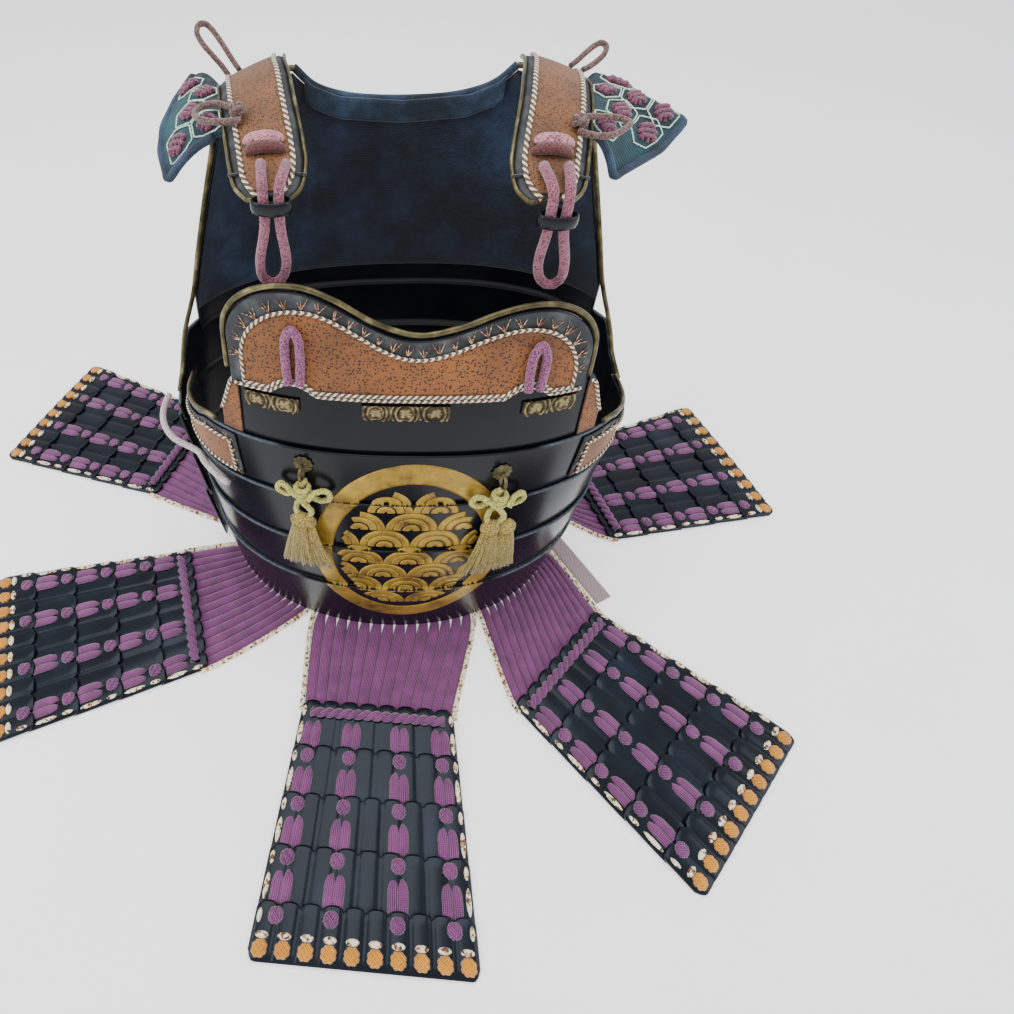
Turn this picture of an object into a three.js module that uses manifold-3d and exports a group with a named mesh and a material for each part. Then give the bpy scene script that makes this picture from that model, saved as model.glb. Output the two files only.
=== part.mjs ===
// A lacquered plate cuirass with shoulder straps and seven laced skirt panels, standing on its hem
// with the skirt spread on the floor. Millimetres, +Z up, the front faces -Y.
import * as THREE from "three";
import { mergeVertices } from "three/addons/utils/BufferGeometryUtils.js";
import Module from "manifold-3d";

const wasm = await Module();
wasm.setup();

const GAP = 0.5;
const PLATE = 2.6;
const LEATHER = 1.4;
const STEP_OUT = 3.9;
const TUCK = 8;
const HEM = 3.8;

// Heights at which one lame of the barrel ends and the next begins.
const SEAMS = [HEM, 92, 156, 214, 267, 318];

// The barrel's plan at each height: half its width, and its depth to the front and to the back.
const BARREL = [
  { z: 0, wide: 189, front: 134, back: 118 },
  { z: 92, wide: 194, front: 136, back: 123 },
  { z: 156, wide: 196, front: 131, back: 127 },
  { z: 214, wide: 197, front: 121, back: 129 },
  { z: 267, wide: 195, front: 111, back: 129 },
  { z: 318, wide: 191, front: 97, back: 128 },
  { z: 361, wide: 188, front: 84, back: 126 },
  { z: 400, wide: 186, front: 76, back: 123 },
  { z: 470, wide: 182, front: 64, back: 117 },
];

// Upper edge of the front half under the arms: plan angle from the front, and height.
const ARMHOLE_FRONT = [
  { angle: 39, z: 338 },
  { angle: 43, z: 325 },
  { angle: 47, z: 300 },
  { angle: 51, z: 281 },
  { angle: 55, z: 270 },
  { angle: 62, z: 262 },
  { angle: 74, z: 254 },
  { angle: 92, z: 244 },
];

// Upper edge of the back half: plan angle from the back, and height.
const BACK_EDGE = [
  { angle: 0, z: 434 },
  { angle: 10, z: 438 },
  { angle: 16, z: 447 },
  { angle: 20, z: 460 },
  { angle: 41, z: 447 },
  { angle: 43, z: 438 },
  { angle: 46, z: 415 },
  { angle: 52, z: 378 },
  { angle: 59, z: 336 },
  { angle: 65, z: 300 },
  { angle: 71, z: 268 },
  { angle: 80, z: 242 },
  { angle: 92, z: 228 },
];

// The back half is wider than the front, closes over it at the sides, and stands a little open.
const BACK_WIDER = 12;
const BACK_SHIFT = -2;
const BACK_TURN = THREE.MathUtils.degToRad(3);

// Breast plate: its foot and the dip of its top, then each half's width, peak and heights.
const CHEST = { low: 314, dip: 361 };
const CHEST_LEFT = { half: 138, peak: 90, top: 393, corner: 352 };
const CHEST_RIGHT = { half: 128, peak: 83, top: 382, corner: 343 };

const parts = new THREE.Group();

const lacquer = { color: 0x14161c, roughness: 0.32, metalness: 0 };
const printedLeather = { color: 0xb06a3c, roughness: 0.7, metalness: 0 };
const brass = { color: 0x8a7440, roughness: 0.4, metalness: 0.8 };
const bronze = { color: 0x5d5132, roughness: 0.5, metalness: 0.7 };
const gilt = { color: 0xb9923c, roughness: 0.35, metalness: 0.9 };
const purpleBraid = { color: 0x7a3c7c, roughness: 0.85, metalness: 0 };
const pinkCord = { color: 0xb07a8c, roughness: 0.85, metalness: 0 };
const duskyCord = { color: 0xa58a88, roughness: 0.85, metalness: 0 };
const yellowCord = { color: 0xc8c46a, roughness: 0.8, metalness: 0 };
const indigoLinen = { color: 0x1a2436, roughness: 0.9, metalness: 0 };
const twill = { color: 0x2c4258, roughness: 0.85, metalness: 0 };
const quilted = { color: 0x274a52, roughness: 0.85, metalness: 0 };
const herringbone = { color: 0x9c8a90, roughness: 0.85, metalness: 0 };

function addPiece(name, geometry, finish) {
  const mesh = new THREE.Mesh(geometry, new THREE.MeshStandardMaterial(finish));
  mesh.name = name;
  parts.add(mesh);
}

// Value of a table's column at a place between its rows, which are ordered by the key.
function between(rows, key, at, column) {
  if (at <= rows[0][key]) return rows[0][column];
  for (let i = 1; i < rows.length; i++) {
    if (at > rows[i][key]) continue;
    const share = (at - rows[i - 1][key]) / (rows[i][key] - rows[i - 1][key]);
    return THREE.MathUtils.lerp(rows[i - 1][column], rows[i][column], share);
  }
  return rows[rows.length - 1][column];
}

// The plan is an ellipse at the hem and squares off a little towards the chest.
const squareness = (z) => 2 + (0.6 * Math.min(z, 460)) / 400;

function bow(value, power) {
  return Math.sign(value) * Math.abs(value) ** power;
}

// A point of the front half's surface at an angle in degrees from the front, moved out by an offset.
function onFront(angle, z, out) {
  const a = THREE.MathUtils.degToRad(angle);
  const power = 2 / squareness(z);
  const wide = between(BARREL, "z", z, "wide") + out;
  const deep = between(BARREL, "z", z, "front") + out;
  return new THREE.Vector3(wide * bow(Math.sin(a), power), -deep * bow(Math.cos(a), power), z);
}

// The same on the back half, the angle counted from the back, +X still to positive angles.
function onBack(angle, z, out) {
  const a = THREE.MathUtils.degToRad(angle);
  const power = 2 / squareness(z);
  const wide = between(BARREL, "z", z, "wide") + BACK_WIDER + out;
  const deep = between(BARREL, "z", z, "back") + out;
  const point = new THREE.Vector3(wide * bow(Math.sin(a), power), deep * bow(Math.cos(a), power), z);
  point.applyAxisAngle(new THREE.Vector3(0, 0, 1), BACK_TURN);
  point.x += BACK_SHIFT;
  return point;
}

// The angle at which the front half's surface has this x.
function angleAt(x, z) {
  const wide = between(BARREL, "z", z, "wide");
  const sine = bow(x / wide, squareness(z) / 2);
  return THREE.MathUtils.radToDeg(Math.asin(THREE.MathUtils.clamp(sine, -1, 1)));
}

function onChest(x, z, out) {
  return onFront(angleAt(x, z), z, out);
}

// A closed body from points and triangles, with its faces turned outwards.
function closedBody(points, triangles) {
  let volume = 0;
  for (const [a, b, c] of triangles) {
    volume += points[a].dot(new THREE.Vector3().crossVectors(points[b], points[c]));
  }
  const geometry = new THREE.BufferGeometry().setFromPoints(points);
  geometry.setIndex(triangles.flatMap(([a, b, c]) => (volume > 0 ? [a, b, c] : [a, c, b])));
  return geometry;
}

// A wall between an outer and an inner grid of points, closed along its four edges.
function wall(columns, rows, outerAt, innerAt) {
  const points = [];
  const triangles = [];
  for (const at of [outerAt, innerAt]) {
    for (let i = 0; i < columns; i++) {
      for (let j = 0; j < rows; j++) points.push(at(i, j));
    }
  }
  const outer = (i, j) => i * rows + j;
  const inner = (i, j) => columns * rows + i * rows + j;
  const quad = (a, b, c, d) => triangles.push([a, b, c], [a, c, d]);
  for (let i = 0; i + 1 < columns; i++) {
    for (let j = 0; j + 1 < rows; j++) {
      quad(outer(i, j), outer(i + 1, j), outer(i + 1, j + 1), outer(i, j + 1));
      quad(inner(i, j), inner(i, j + 1), inner(i + 1, j + 1), inner(i + 1, j));
    }
    quad(outer(i, 0), inner(i, 0), inner(i + 1, 0), outer(i + 1, 0));
    quad(outer(i, rows - 1), outer(i + 1, rows - 1), inner(i + 1, rows - 1), inner(i, rows - 1));
  }
  for (let j = 0; j + 1 < rows; j++) {
    quad(outer(0, j), outer(0, j + 1), inner(0, j + 1), inner(0, j));
    const last = columns - 1;
    quad(outer(last, j), inner(last, j), inner(last, j + 1), outer(last, j + 1));
  }
  return closedBody(points, triangles);
}

const spread = (from, to, count) =>
  Array.from({ length: count }, (_, i) => THREE.MathUtils.lerp(from, to, i / (count - 1)));

// A round cord or bead along points, with flat ends.
function cordAlong(points, radius, steps, sides = 8) {
  const curve = new THREE.CatmullRomCurve3(points, false, "centripetal");
  const section = new THREE.Shape();
  for (let i = 0; i < sides; i++) {
    const a = (2 * Math.PI * i) / sides;
    const [x, y] = [radius * Math.cos(a), radius * Math.sin(a)];
    if (i === 0) section.moveTo(x, y);
    else section.lineTo(x, y);
  }
  return new THREE.ExtrudeGeometry(section, { steps, extrudePath: curve, bevelEnabled: false });
}

function solidOf(geometry) {
  const bare = geometry.clone();
  bare.deleteAttribute("normal");
  bare.deleteAttribute("uv");
  const merged = mergeVertices(bare, 1e-4);
  return new wasm.Manifold(
    new wasm.Mesh({
      numProp: 3,
      vertProperties: merged.attributes.position.array,
      triVerts: new Uint32Array(merged.index.array),
    }),
  );
}

function joined(geometries) {
  const solid = geometries.map(solidOf).reduce((sum, next) => sum.add(next));
  const mesh = solid.getMesh();
  return new THREE.BufferGeometry()
    .setAttribute("position", new THREE.BufferAttribute(mesh.vertProperties, 3))
    .setIndex(new THREE.BufferAttribute(mesh.triVerts, 1));
}

// Barrel, front half. Each lame's upper edge lies outside the tucked foot of the next one up.
// The top lame is short and stops under the breast plate.
const FRONT_LAMES = 5;
const FRONT_REACH = 93;
const TOP_LAME_REACH = 48;
const TOP_LAME_DROP = 6;
const TOP_LAME_RISE = 5;

function frontLame(index) {
  const [low, high] = [SEAMS[index], SEAMS[index + 1]];
  const under = index === 0 ? 0 : TUCK;
  const top = index === FRONT_LAMES - 1;
  const reach = top ? TOP_LAME_REACH : FRONT_REACH;
  const angles = spread(-reach, reach, top ? 15 : 23);
  const edge = (angle) => {
    const open = between(ARMHOLE_FRONT, "angle", Math.abs(angle), "z");
    return top ? Math.min(high + TOP_LAME_RISE, open - TOP_LAME_DROP) : Math.min(high, open);
  };
  const rows = index < 3 ? 2 : 3;
  const height = (angle, j) => THREE.MathUtils.lerp(low - under, edge(angle), j / (rows - 1));
  const lean = (z) => (top ? 0 : (STEP_OUT * (z - low + under)) / (high - low + under));
  const point = (i, j, out) => {
    const z = height(angles[i], j);
    return onFront(angles[i], z, out + lean(z));
  };
  return wall(angles.length, rows, (i, j) => point(i, j, 0), (i, j) => point(i, j, -PLATE));
}

for (let index = 0; index < FRONT_LAMES; index++) {
  addPiece("front_lame_" + (index + 1), frontLame(index), lacquer);
}

// Barrel, back half: four lames and the tall plate that carries the straps.
const BACK_LAMES = 4;
const BACK_LAME_ANGLES = [0, 10, 20, 30, 40, 50, 60, 65, 71, 80, 92];
const backLameAngles = [
  ...BACK_LAME_ANGLES.slice(1).map((a) => -a).reverse(),
  ...BACK_LAME_ANGLES,
];

function backLame(index) {
  const [low, high] = [SEAMS[index], SEAMS[index + 1]];
  const under = index === 0 ? 0 : TUCK;
  const edge = (angle) => Math.min(high, between(BACK_EDGE, "angle", Math.abs(angle), "z"));
  const lean = (z) => (STEP_OUT * (z - low + under)) / (high - low + under);
  const point = (i, j, out) => {
    const angle = backLameAngles[i];
    const z = j === 0 ? low - under : edge(angle);
    return onBack(angle, z, out + lean(z));
  };
  return wall(backLameAngles.length, 2, (i, j) => point(i, j, 0), (i, j) => point(i, j, -PLATE));
}

for (let index = 0; index < BACK_LAMES; index++) {
  addPiece("back_lame_" + (index + 1), backLame(index), lacquer);
}

const BACK_PLATE_REACH = 70;
const BACK_PLATE_ANGLES = BACK_EDGE.map((row) => row.angle).filter((a) => a <= BACK_PLATE_REACH);
const backAngles = [
  ...BACK_PLATE_ANGLES.slice(1).map((a) => -a).reverse(),
  ...BACK_PLATE_ANGLES,
];

function backPlatePoint(i, j, out, foot, head) {
  const angle = backAngles[i];
  const top = between(BACK_EDGE, "angle", Math.abs(angle), "z") - head;
  const z = THREE.MathUtils.lerp(foot, top, j / 2);
  return onBack(angle, z, out);
}

const BACK_PLATE_FOOT = SEAMS[BACK_LAMES] - TUCK;
addPiece(
  "back_plate",
  wall(
    backAngles.length,
    3,
    (i, j) => backPlatePoint(i, j, 0, BACK_PLATE_FOOT, 0),
    (i, j) => backPlatePoint(i, j, -PLATE, BACK_PLATE_FOOT, 0),
  ),
  lacquer,
);

// Linen glued inside the back plate, from the neck down to a line at chest height.
const LINING = { foot: 284, below: 2, thick: 1.4 };
addPiece(
  "back_lining",
  wall(
    backAngles.length,
    3,
    (i, j) => backPlatePoint(i, j, -PLATE - GAP, LINING.foot, LINING.below),
    (i, j) => backPlatePoint(i, j, -PLATE - GAP - LINING.thick, LINING.foot, LINING.below),
  ),
  indigoLinen,
);

// Breast plate: two peaks beside a dip, square at the foot, with a hollow for each pair of cords.
const chestSide = (x) => (x < 0 ? CHEST_LEFT : CHEST_RIGHT);

function chestTop(x) {
  const away = Math.abs(x);
  const { half, peak, top, corner } = chestSide(x);
  if (away < peak) {
    return CHEST.dip + (top - CHEST.dip) * (0.5 - 0.5 * Math.cos((Math.PI * away) / peak));
  }
  const turn = (away - peak) / (half - peak);
  return top - (top - corner) * (1 - Math.sqrt(Math.max(0, 1 - turn * turn)));
}

const SLOT = { share: 0.65, half: 17, rise: 8 };
const chestFoot = (x) => {
  const away = Math.abs(Math.abs(x) - SLOT.share * chestSide(x).half) / SLOT.half;
  return CHEST.low + (away < 1 ? SLOT.rise * (1 - away * away) : 0);
};

// Columns across the plate, as shares of each half's width.
const CHEST_SHARES = [0, 0.11, 0.22, 0.33, 0.44, 0.53, 0.6, 0.65, 0.71, 0.78, 0.85, 0.91, 0.96, 0.99, 1];
const acrossChest = (shares) => [
  ...shares.slice(1).map((share) => -share * CHEST_LEFT.half).reverse(),
  ...shares.map((share) => share * CHEST_RIGHT.half),
];
const chestXs = acrossChest(CHEST_SHARES);

// The leather's foot keeps a narrower strip of the plate than its other edges.
const FOOT_INSET = 0.55;

function chestWall(inset, out, thick) {
  const point = (i, j, offset) => {
    const x = chestXs[i] * (1 - inset / chestSide(chestXs[i]).half);
    const foot = chestFoot(x) + inset * FOOT_INSET;
    const z = THREE.MathUtils.lerp(foot, chestTop(chestXs[i]) - inset, j / 2);
    return onChest(x, z, offset);
  };
  return wall(chestXs.length, 3, (i, j) => point(i, j, out + thick), (i, j) => point(i, j, out));
}

addPiece("breast_plate", chestWall(0, GAP, PLATE), lacquer);
const CHEST_SKIN = GAP + PLATE + 1;
const CHEST_INSET = 12;
addPiece("breast_leather", chestWall(CHEST_INSET, CHEST_SKIN, LEATHER), printedLeather);

const RIM_RADIUS = 2.2;
const RIM_CLEAR = RIM_RADIUS + 1.5;

// Points of an outline moved out square to it, to its left as it runs.
function movedOut(outline, distance) {
  return outline.map((point, i) => {
    const before = outline[Math.max(i - 1, 0)];
    const after = outline[Math.min(i + 1, outline.length - 1)];
    const run = new THREE.Vector2().subVectors(after, before).normalize();
    return new THREE.Vector2(point.x - run.y * distance, point.y + run.x * distance);
  });
}

const RIM_SHARES = [0, 0.22, 0.44, 0.58, 0.69, 0.78, 0.86, 0.93, 0.985];
const chestOutline = acrossChest(RIM_SHARES).map((x) => new THREE.Vector2(x, chestTop(x)));
for (const share of [0.4, 0.75]) {
  const drop = (side) => THREE.MathUtils.lerp(side.corner, CHEST.low + 3, share);
  chestOutline.unshift(new THREE.Vector2(-CHEST_LEFT.half, drop(CHEST_LEFT)));
  chestOutline.push(new THREE.Vector2(CHEST_RIGHT.half, drop(CHEST_RIGHT)));
}
const chestRim = movedOut(chestOutline, RIM_CLEAR).map(({ x, y }) => onChest(x, y, GAP + PLATE / 2));
addPiece("breast_rim", cordAlong(chestRim, RIM_RADIUS, 34, 4), brass);

// Leather on the sides under the arms, and the bead along each armhole of the front half.
const FACING_FOOT = 218;
const FACING_CLEAR = 0.9;
const FACING_BELOW = 3;
const FACING_ANGLES = [46, 50, 54, 59, 65, 72, 80, 89];
const sideLean = (z) => (STEP_OUT * (z - SEAMS[3] + TUCK)) / (SEAMS[4] - SEAMS[3] + TUCK);

// Under the arms the leather ends short of the lame's upper seam.
const FACING_TOP = SEAMS[4] - 2;

function sideFacing(side) {
  const point = (i, j, out) => {
    const angle = FACING_ANGLES[i];
    const top = between(ARMHOLE_FRONT, "angle", angle, "z") - FACING_BELOW;
    const z = j === 0 ? FACING_FOOT : Math.min(top, FACING_TOP);
    return onFront(side * angle, z, sideLean(z) + out);
  };
  return wall(
    FACING_ANGLES.length,
    2,
    (i, j) => point(i, j, FACING_CLEAR + LEATHER),
    (i, j) => point(i, j, FACING_CLEAR),
  );
}

function sideRim(side) {
  const points = [52, 55, 59, 65, 74, 83, 91].map((angle) => {
    const edge = Math.min(between(ARMHOLE_FRONT, "angle", angle, "z"), SEAMS[4]);
    return onFront(side * angle, edge + RIM_RADIUS + 0.5, sideLean(edge) - PLATE / 2);
  });
  return cordAlong(points, RIM_RADIUS, 12, 4);
}

// Bead along the back half's upper edge, from one side over the neck to the other.
const ARC_PER_DEGREE = 3.1;
const BACK_RIM_ANGLES = [0, 9, 16, 20, 27, 34, 41, 43, 46, 52, 59, 65, 71, 75, 80, 89];
const backEdgeAt = (angle) => between(BACK_EDGE, "angle", Math.abs(angle), "z");
const backOutline = [
  ...BACK_RIM_ANGLES.slice(1).map((a) => -a).reverse(),
  ...BACK_RIM_ANGLES,
].map((angle) => new THREE.Vector2(angle * ARC_PER_DEGREE, backEdgeAt(angle)));
const backRim = movedOut(backOutline, RIM_CLEAR).map(({ x, y }) => {
  const lean = y < SEAMS[4] + RIM_CLEAR ? (STEP_OUT * (y - SEAMS[3])) / (SEAMS[4] - SEAMS[3]) : 0;
  return onBack(x / ARC_PER_DEGREE, y, lean - PLATE / 2);
});
addPiece("back_rim", cordAlong(backRim, RIM_RADIUS, 54, 4), brass);

// Twill edge along the neck, inside the lining's top and a little above the plate.
const BINDING = { clear: 2.4, thick: 2.2, below: 12, high: 17 };
const BINDING_OUT = -PLATE - GAP - BINDING.clear;
const collarAngles = spread(-18, 18, 11);
addPiece(
  "neck_binding",
  wall(
    collarAngles.length,
    2,
    (i, j) => collarPoint(i, j, BINDING_OUT),
    (i, j) => collarPoint(i, j, BINDING_OUT - BINDING.thick),
  ),
  twill,
);

function collarPoint(i, j, out) {
  const angle = collarAngles[i];
  return onBack(angle, backEdgeAt(angle) - BINDING.below + BINDING.high * j, out);
}

for (const [name, side] of [["left", -1], ["right", 1]]) {
  addPiece("side_leather_" + name, sideFacing(side), printedLeather);
  addPiece("side_rim_" + name, sideRim(side), brass);
}

// Embossed fittings under the breast plate: a lobed plate with raised bosses.
const FITTINGS = [
  { name: "left", x: -109, half: 22, z: 304, bosses: 3 },
  { name: "centre", x: -6, half: 34, z: 304, bosses: 4 },
  { name: "right", x: 105, half: 22, z: 304, bosses: 3 },
];

const FITTING = { clear: 0.4, thick: 1.2, boss: 2.4, above: 6, below: 5, lobe: 1.6 };

function fitting({ x, half, z, bosses }) {
  const columns = 4 * bosses + 1;
  const point = (i, j, raised) => {
    const share = i / (columns - 1);
    const along = x + half * (2 * share - 1);
    const lobe = Math.abs(Math.sin(Math.PI * bosses * share));
    const rise = [-FITTING.below - FITTING.lobe * lobe, 0, FITTING.above][j];
    const boss = j === 1 ? FITTING.boss * lobe : 0;
    return onChest(along, z + rise, FITTING.clear + (raised ? FITTING.thick + boss : 0));
  };
  return wall(columns, 3, (i, j) => point(i, j, true), (i, j) => point(i, j, false));
}

for (const row of FITTINGS) addPiece("fitting_" + row.name, fitting(row), bronze);

// Gilt rings on round washers, each with a knotted cord and a fringe below it.
const TASSELS = [
  { name: "left", x: -86, z: 252, skirts: [{ x: -86, z: 196, long: 66, strands: 18, wide: 10 }] },
  {
    name: "right",
    x: 75,
    z: 247,
    skirts: [
      { x: 75, z: 193, long: 66, strands: 11, wide: 7.5 },
      { x: 86, z: 192, long: 60, strands: 11, wide: 7.5 },
    ],
  },
];

// A frame on the front half's lames: x across, y up the surface, z out from it.
function frameAt(x, z, clear) {
  const onLame = (u, v) => {
    const index = SEAMS.findIndex((seam) => seam > v) - 1;
    const lean = (STEP_OUT * (v - SEAMS[index])) / (SEAMS[index + 1] - SEAMS[index]);
    return onChest(u, v, lean + clear);
  };
  const origin = onLame(x, z);
  const across = onLame(x + 2, z).sub(onLame(x - 2, z)).normalize();
  const up = onLame(x, z + 3).sub(onLame(x, z - 3)).normalize();
  const outward = new THREE.Vector3().crossVectors(across, up).normalize();
  return new THREE.Matrix4().makeBasis(across, up, outward).setPosition(origin);
}

const WASHER = { face: 7.5, foot: 8.5, thick: 2, clear: 0.9 };
const POST = { radius: 2, long: 6, out: 4.4 };
const RING = { radius: 6, wire: 1.5, drop: 4.5, out: 6.6 };

function ringOnWasher(x, z) {
  const washer = new THREE.CylinderGeometry(WASHER.face, WASHER.foot, WASHER.thick, 12);
  const post = new THREE.CylinderGeometry(POST.radius, POST.radius, POST.long, 8);
  const ring = new THREE.TorusGeometry(RING.radius, RING.wire, 6, 12);
  return joined([
    washer.rotateX(Math.PI / 2).translate(0, 0, WASHER.thick / 2),
    post.rotateX(Math.PI / 2).translate(0, 0, POST.out),
    ring.rotateY(Math.PI / 2).translate(0, -RING.drop, RING.out),
  ]).applyMatrix4(frameAt(x, z, WASHER.clear));
}

// The knot: one cord down from the ring, with a bow loop to each side and one round loop below.
const KNOT = [
  { x: 1.9, y: -1.95, out: 3.5 },
  { x: -4, y: -14, out: 4 },
  { x: -15, y: -22, out: 4 },
  { x: -23, y: -17, out: 4 },
  { x: -19, y: -10, out: 4.5 },
  { x: -8, y: -14, out: 9 },
  { x: 2, y: -24, out: 11 },
  { x: 7, y: -35, out: 9 },
  { x: 1, y: -43, out: 8 },
  { x: -7, y: -37, out: 8 },
  { x: -5, y: -28, out: 5 },
  { x: 5, y: -22, out: 4 },
  { x: 15, y: -24, out: 4 },
  { x: 23, y: -19, out: 4 },
  { x: 20, y: -11, out: 4.5 },
  { x: 11, y: -11, out: 9 },
  { x: 6, y: -16, out: 14.5 },
];
const KNOT_RADIUS = 2.4;
const KNOT_BELOW = 11;
const KNOT_CLEAR = 2.3;

function cordKnot(x, z) {
  const points = KNOT.map((row) => new THREE.Vector3(row.x, row.y - KNOT_BELOW, row.out));
  return cordAlong(points, KNOT_RADIUS, 30, 6).applyMatrix4(frameAt(x, z, KNOT_CLEAR));
}

// Each fringe is a domed head under the knot, with tapering strands whose roots are set in it.
const HEAD = { share: 0.95, high: 8, deep: 5.4, drop: 4, out: 7 };
const STRAND = { root: 1.9, tip: 1.3, start: 5, rows: 2.2, bulge: 2.5, gather: 0.62, flare: 0.85 };
const EVEN_OUT = { least: 0.9, swing: 0.1, turn: 2.7 };

function fringes(skirts) {
  const pieces = [];
  for (const { x, z, long, strands, wide } of skirts) {
    const place = frameAt(x, z, KNOT_CLEAR);
    const head = new THREE.SphereGeometry(1, 6, 4).scale(wide * HEAD.share, HEAD.high, HEAD.deep);
    pieces.push(head.translate(0, -HEAD.drop, HEAD.out).applyMatrix4(place));
    for (let k = 0; k < strands; k++) {
      const across = ((2 * k + 1) / strands - 1) * wide;
      const depth = HEAD.out + (k % 2 === 0 ? STRAND.rows : -STRAND.rows);
      const length = long * (EVEN_OUT.least + EVEN_OUT.swing * Math.cos(EVEN_OUT.turn * k));
      const strand = new THREE.CylinderGeometry(STRAND.tip, STRAND.root, length, 3, 1);
      const position = strand.attributes.position;
      for (let v = 0; v < position.count; v++) {
        const down = 0.5 - position.getY(v) / length;
        const bulge = STRAND.bulge * Math.sin(Math.PI * down);
        position.setX(v, position.getX(v) + across * (STRAND.gather + STRAND.flare * down));
        position.setZ(v, position.getZ(v) + depth + bulge);
        position.setY(v, -STRAND.start - length * down);
      }
      pieces.push(strand.applyMatrix4(place));
    }
  }
  return pieces;
}

for (const { name, x, z, skirts } of TASSELS) {
  addPiece("ring_" + name, ringOnWasher(x, z), gilt);
  addPiece("tassel_" + name, joined([cordKnot(x, z), ...fringes(skirts)]), yellowCord);
}

// Doubled cords that rise from the hollows in the breast plate and lie on its leather.
const CORD_RADIUS = 3.4;
const CHEST_CORDS = [
  { name: "left", x: -86, low: 328, high: 371 },
  { name: "right", x: 84, low: 325, high: 361 },
];

const LEG_APART = 0.8;

function chestCords({ x, low, high }) {
  const out = CHEST_SKIN + LEATHER + GAP + CORD_RADIUS;
  const leg = CORD_RADIUS + LEG_APART;
  const route = [
    [x - leg, low],
    [x - leg - 1, (low + high) / 2],
    [x - leg, high - 8],
    [x, high - 1.5],
    [x + leg, high - 8],
    [x + leg + 1, (low + high) / 2],
    [x + leg, low],
  ];
  return cordAlong(route.map(([px, pz]) => onChest(px, pz, out)), CORD_RADIUS, 18, 8);
}

for (const row of CHEST_CORDS) addPiece("chest_cord_" + row.name, chestCords(row), pinkCord);

// Shoulder straps: stations from the back plate forward over the shoulder. The back half stands
// turned, so the left strap leaves it lower than the right one.
const STRAP_RIGHT = [
  { x: 115, y: 108, z: 463.85, half: 25, tilt: 0.3, leftDrop: 4, leftTilt: 0.12 },
  { x: 114, y: 96, z: 467.6, half: 25, tilt: 0.3, leftDrop: 3.8, leftTilt: 0.12 },
  { x: 112, y: 78, z: 471, half: 25, tilt: 0.28, leftDrop: 2, leftTilt: 0.08 },
  { x: 107, y: 52, z: 473, half: 25, tilt: 0.25, leftDrop: 1, leftTilt: 0.04 },
  { x: 102, y: 24, z: 470, half: 25, tilt: 0.2, leftDrop: 0, leftTilt: 0 },
  { x: 96, y: -4, z: 462, half: 25, tilt: 0.12, leftDrop: 0, leftTilt: 0 },
  { x: 94, y: -14, z: 458, half: 25, tilt: 0.08, leftDrop: 0, leftTilt: 0 },
  { x: 92, y: -26, z: 453.5, half: 24.5, tilt: 0.04, leftDrop: 0, leftTilt: 0 },
  { x: 91, y: -42, z: 447.5, half: 21, tilt: 0, leftDrop: 0, leftTilt: 0 },
  { x: 91, y: -49, z: 443, half: 13, tilt: 0, leftDrop: 0, leftTilt: 0 },
];
const STRAP_LEFT = STRAP_RIGHT.map((row) => ({
  ...row,
  z: row.z - row.leftDrop,
  tilt: row.tilt + row.leftTilt,
}));
const strapStations = (side) => (side < 0 ? STRAP_LEFT : STRAP_RIGHT);
const STRAP_SHIFT = -11;
const STRAP_THICK = 4.5;
const STRAP_COLUMNS = [-1, -0.55, 0, 0.55, 1];
const STRAP_CROWN = 2;

function strapPoint(side, row, share, out) {
  const stations = strapStations(side);
  const before = stations[Math.max(row - 1, 0)];
  const after = stations[Math.min(row + 1, stations.length - 1)];
  const along = new THREE.Vector2(after.y - before.y, after.z - before.z).normalize();
  const { x, y, z, half, tilt } = stations[row];
  const crown = STRAP_CROWN * (1 - share * share) + out;
  return new THREE.Vector3(
    side * (x + half * share) + STRAP_SHIFT,
    y + along.y * crown,
    z - along.x * crown - tilt * half * share,
  );
}

function strap(side) {
  return wall(
    STRAP_RIGHT.length,
    STRAP_COLUMNS.length,
    (i, j) => strapPoint(side, i, STRAP_COLUMNS[j], STRAP_THICK / 2),
    (i, j) => strapPoint(side, i, STRAP_COLUMNS[j], -STRAP_THICK / 2),
  );
}

// Oval cord buckle across the strap.
const BUCKLE = { station: 6, wide: 14, deep: 6.5, high: 4.6, clear: 0.6, tilt: 0.42 };

function strapBuckle(side) {
  const centre = strapPoint(side, BUCKLE.station, 0, STRAP_THICK / 2 + BUCKLE.high + BUCKLE.clear);
  const buckle = new THREE.SphereGeometry(1, 10, 6).scale(BUCKLE.wide, BUCKLE.deep, BUCKLE.high);
  return buckle.rotateX(BUCKLE.tilt).translate(centre.x, centre.y, centre.z);
}

// Front loops: two legs on the strap's front end, then a free loop hanging from its tip.
const STRAP_LOOPS = [
  { name: "left", x: -98, footX: -104, slider: 446.6, foot: 386 },
  { name: "right", x: 83, footX: 93, slider: 439, foot: 386 },
];
const SLIDER = { wide: 13.4, deep: 7.2, wall: 2.6, high: 9, y: -61.4 };

const LOOP_TOP = 459.3;
const loopX = ({ x, footX, foot }, z) => x + (footX - x) * ((LOOP_TOP - z) / (LOOP_TOP - foot)) ** 2;

function strapLoop(loop) {
  const route = [
    { apart: 8.2, y: -33, z: LOOP_TOP },
    { apart: 6, y: -52, z: 458 },
    { apart: 5, y: -60, z: 454.5 },
    { apart: 5, y: -61.4, z: 446 },
    { apart: 5, y: -61.4, z: 433 },
    { apart: 9, y: -58, z: 404 },
    { apart: 6.5, y: -55, z: loop.foot + 4 },
    { apart: 0, y: -55, z: loop.foot },
  ];
  const leg = (row, side) => new THREE.Vector3(loopX(loop, row.z) + side * row.apart, row.y, row.z);
  const points = [
    ...route.map((row) => leg(row, -1)),
    ...route.slice(0, -1).reverse().map((row) => leg(row, 1)),
  ];
  return cordAlong(points, CORD_RADIUS, 22, 8);
}

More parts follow.
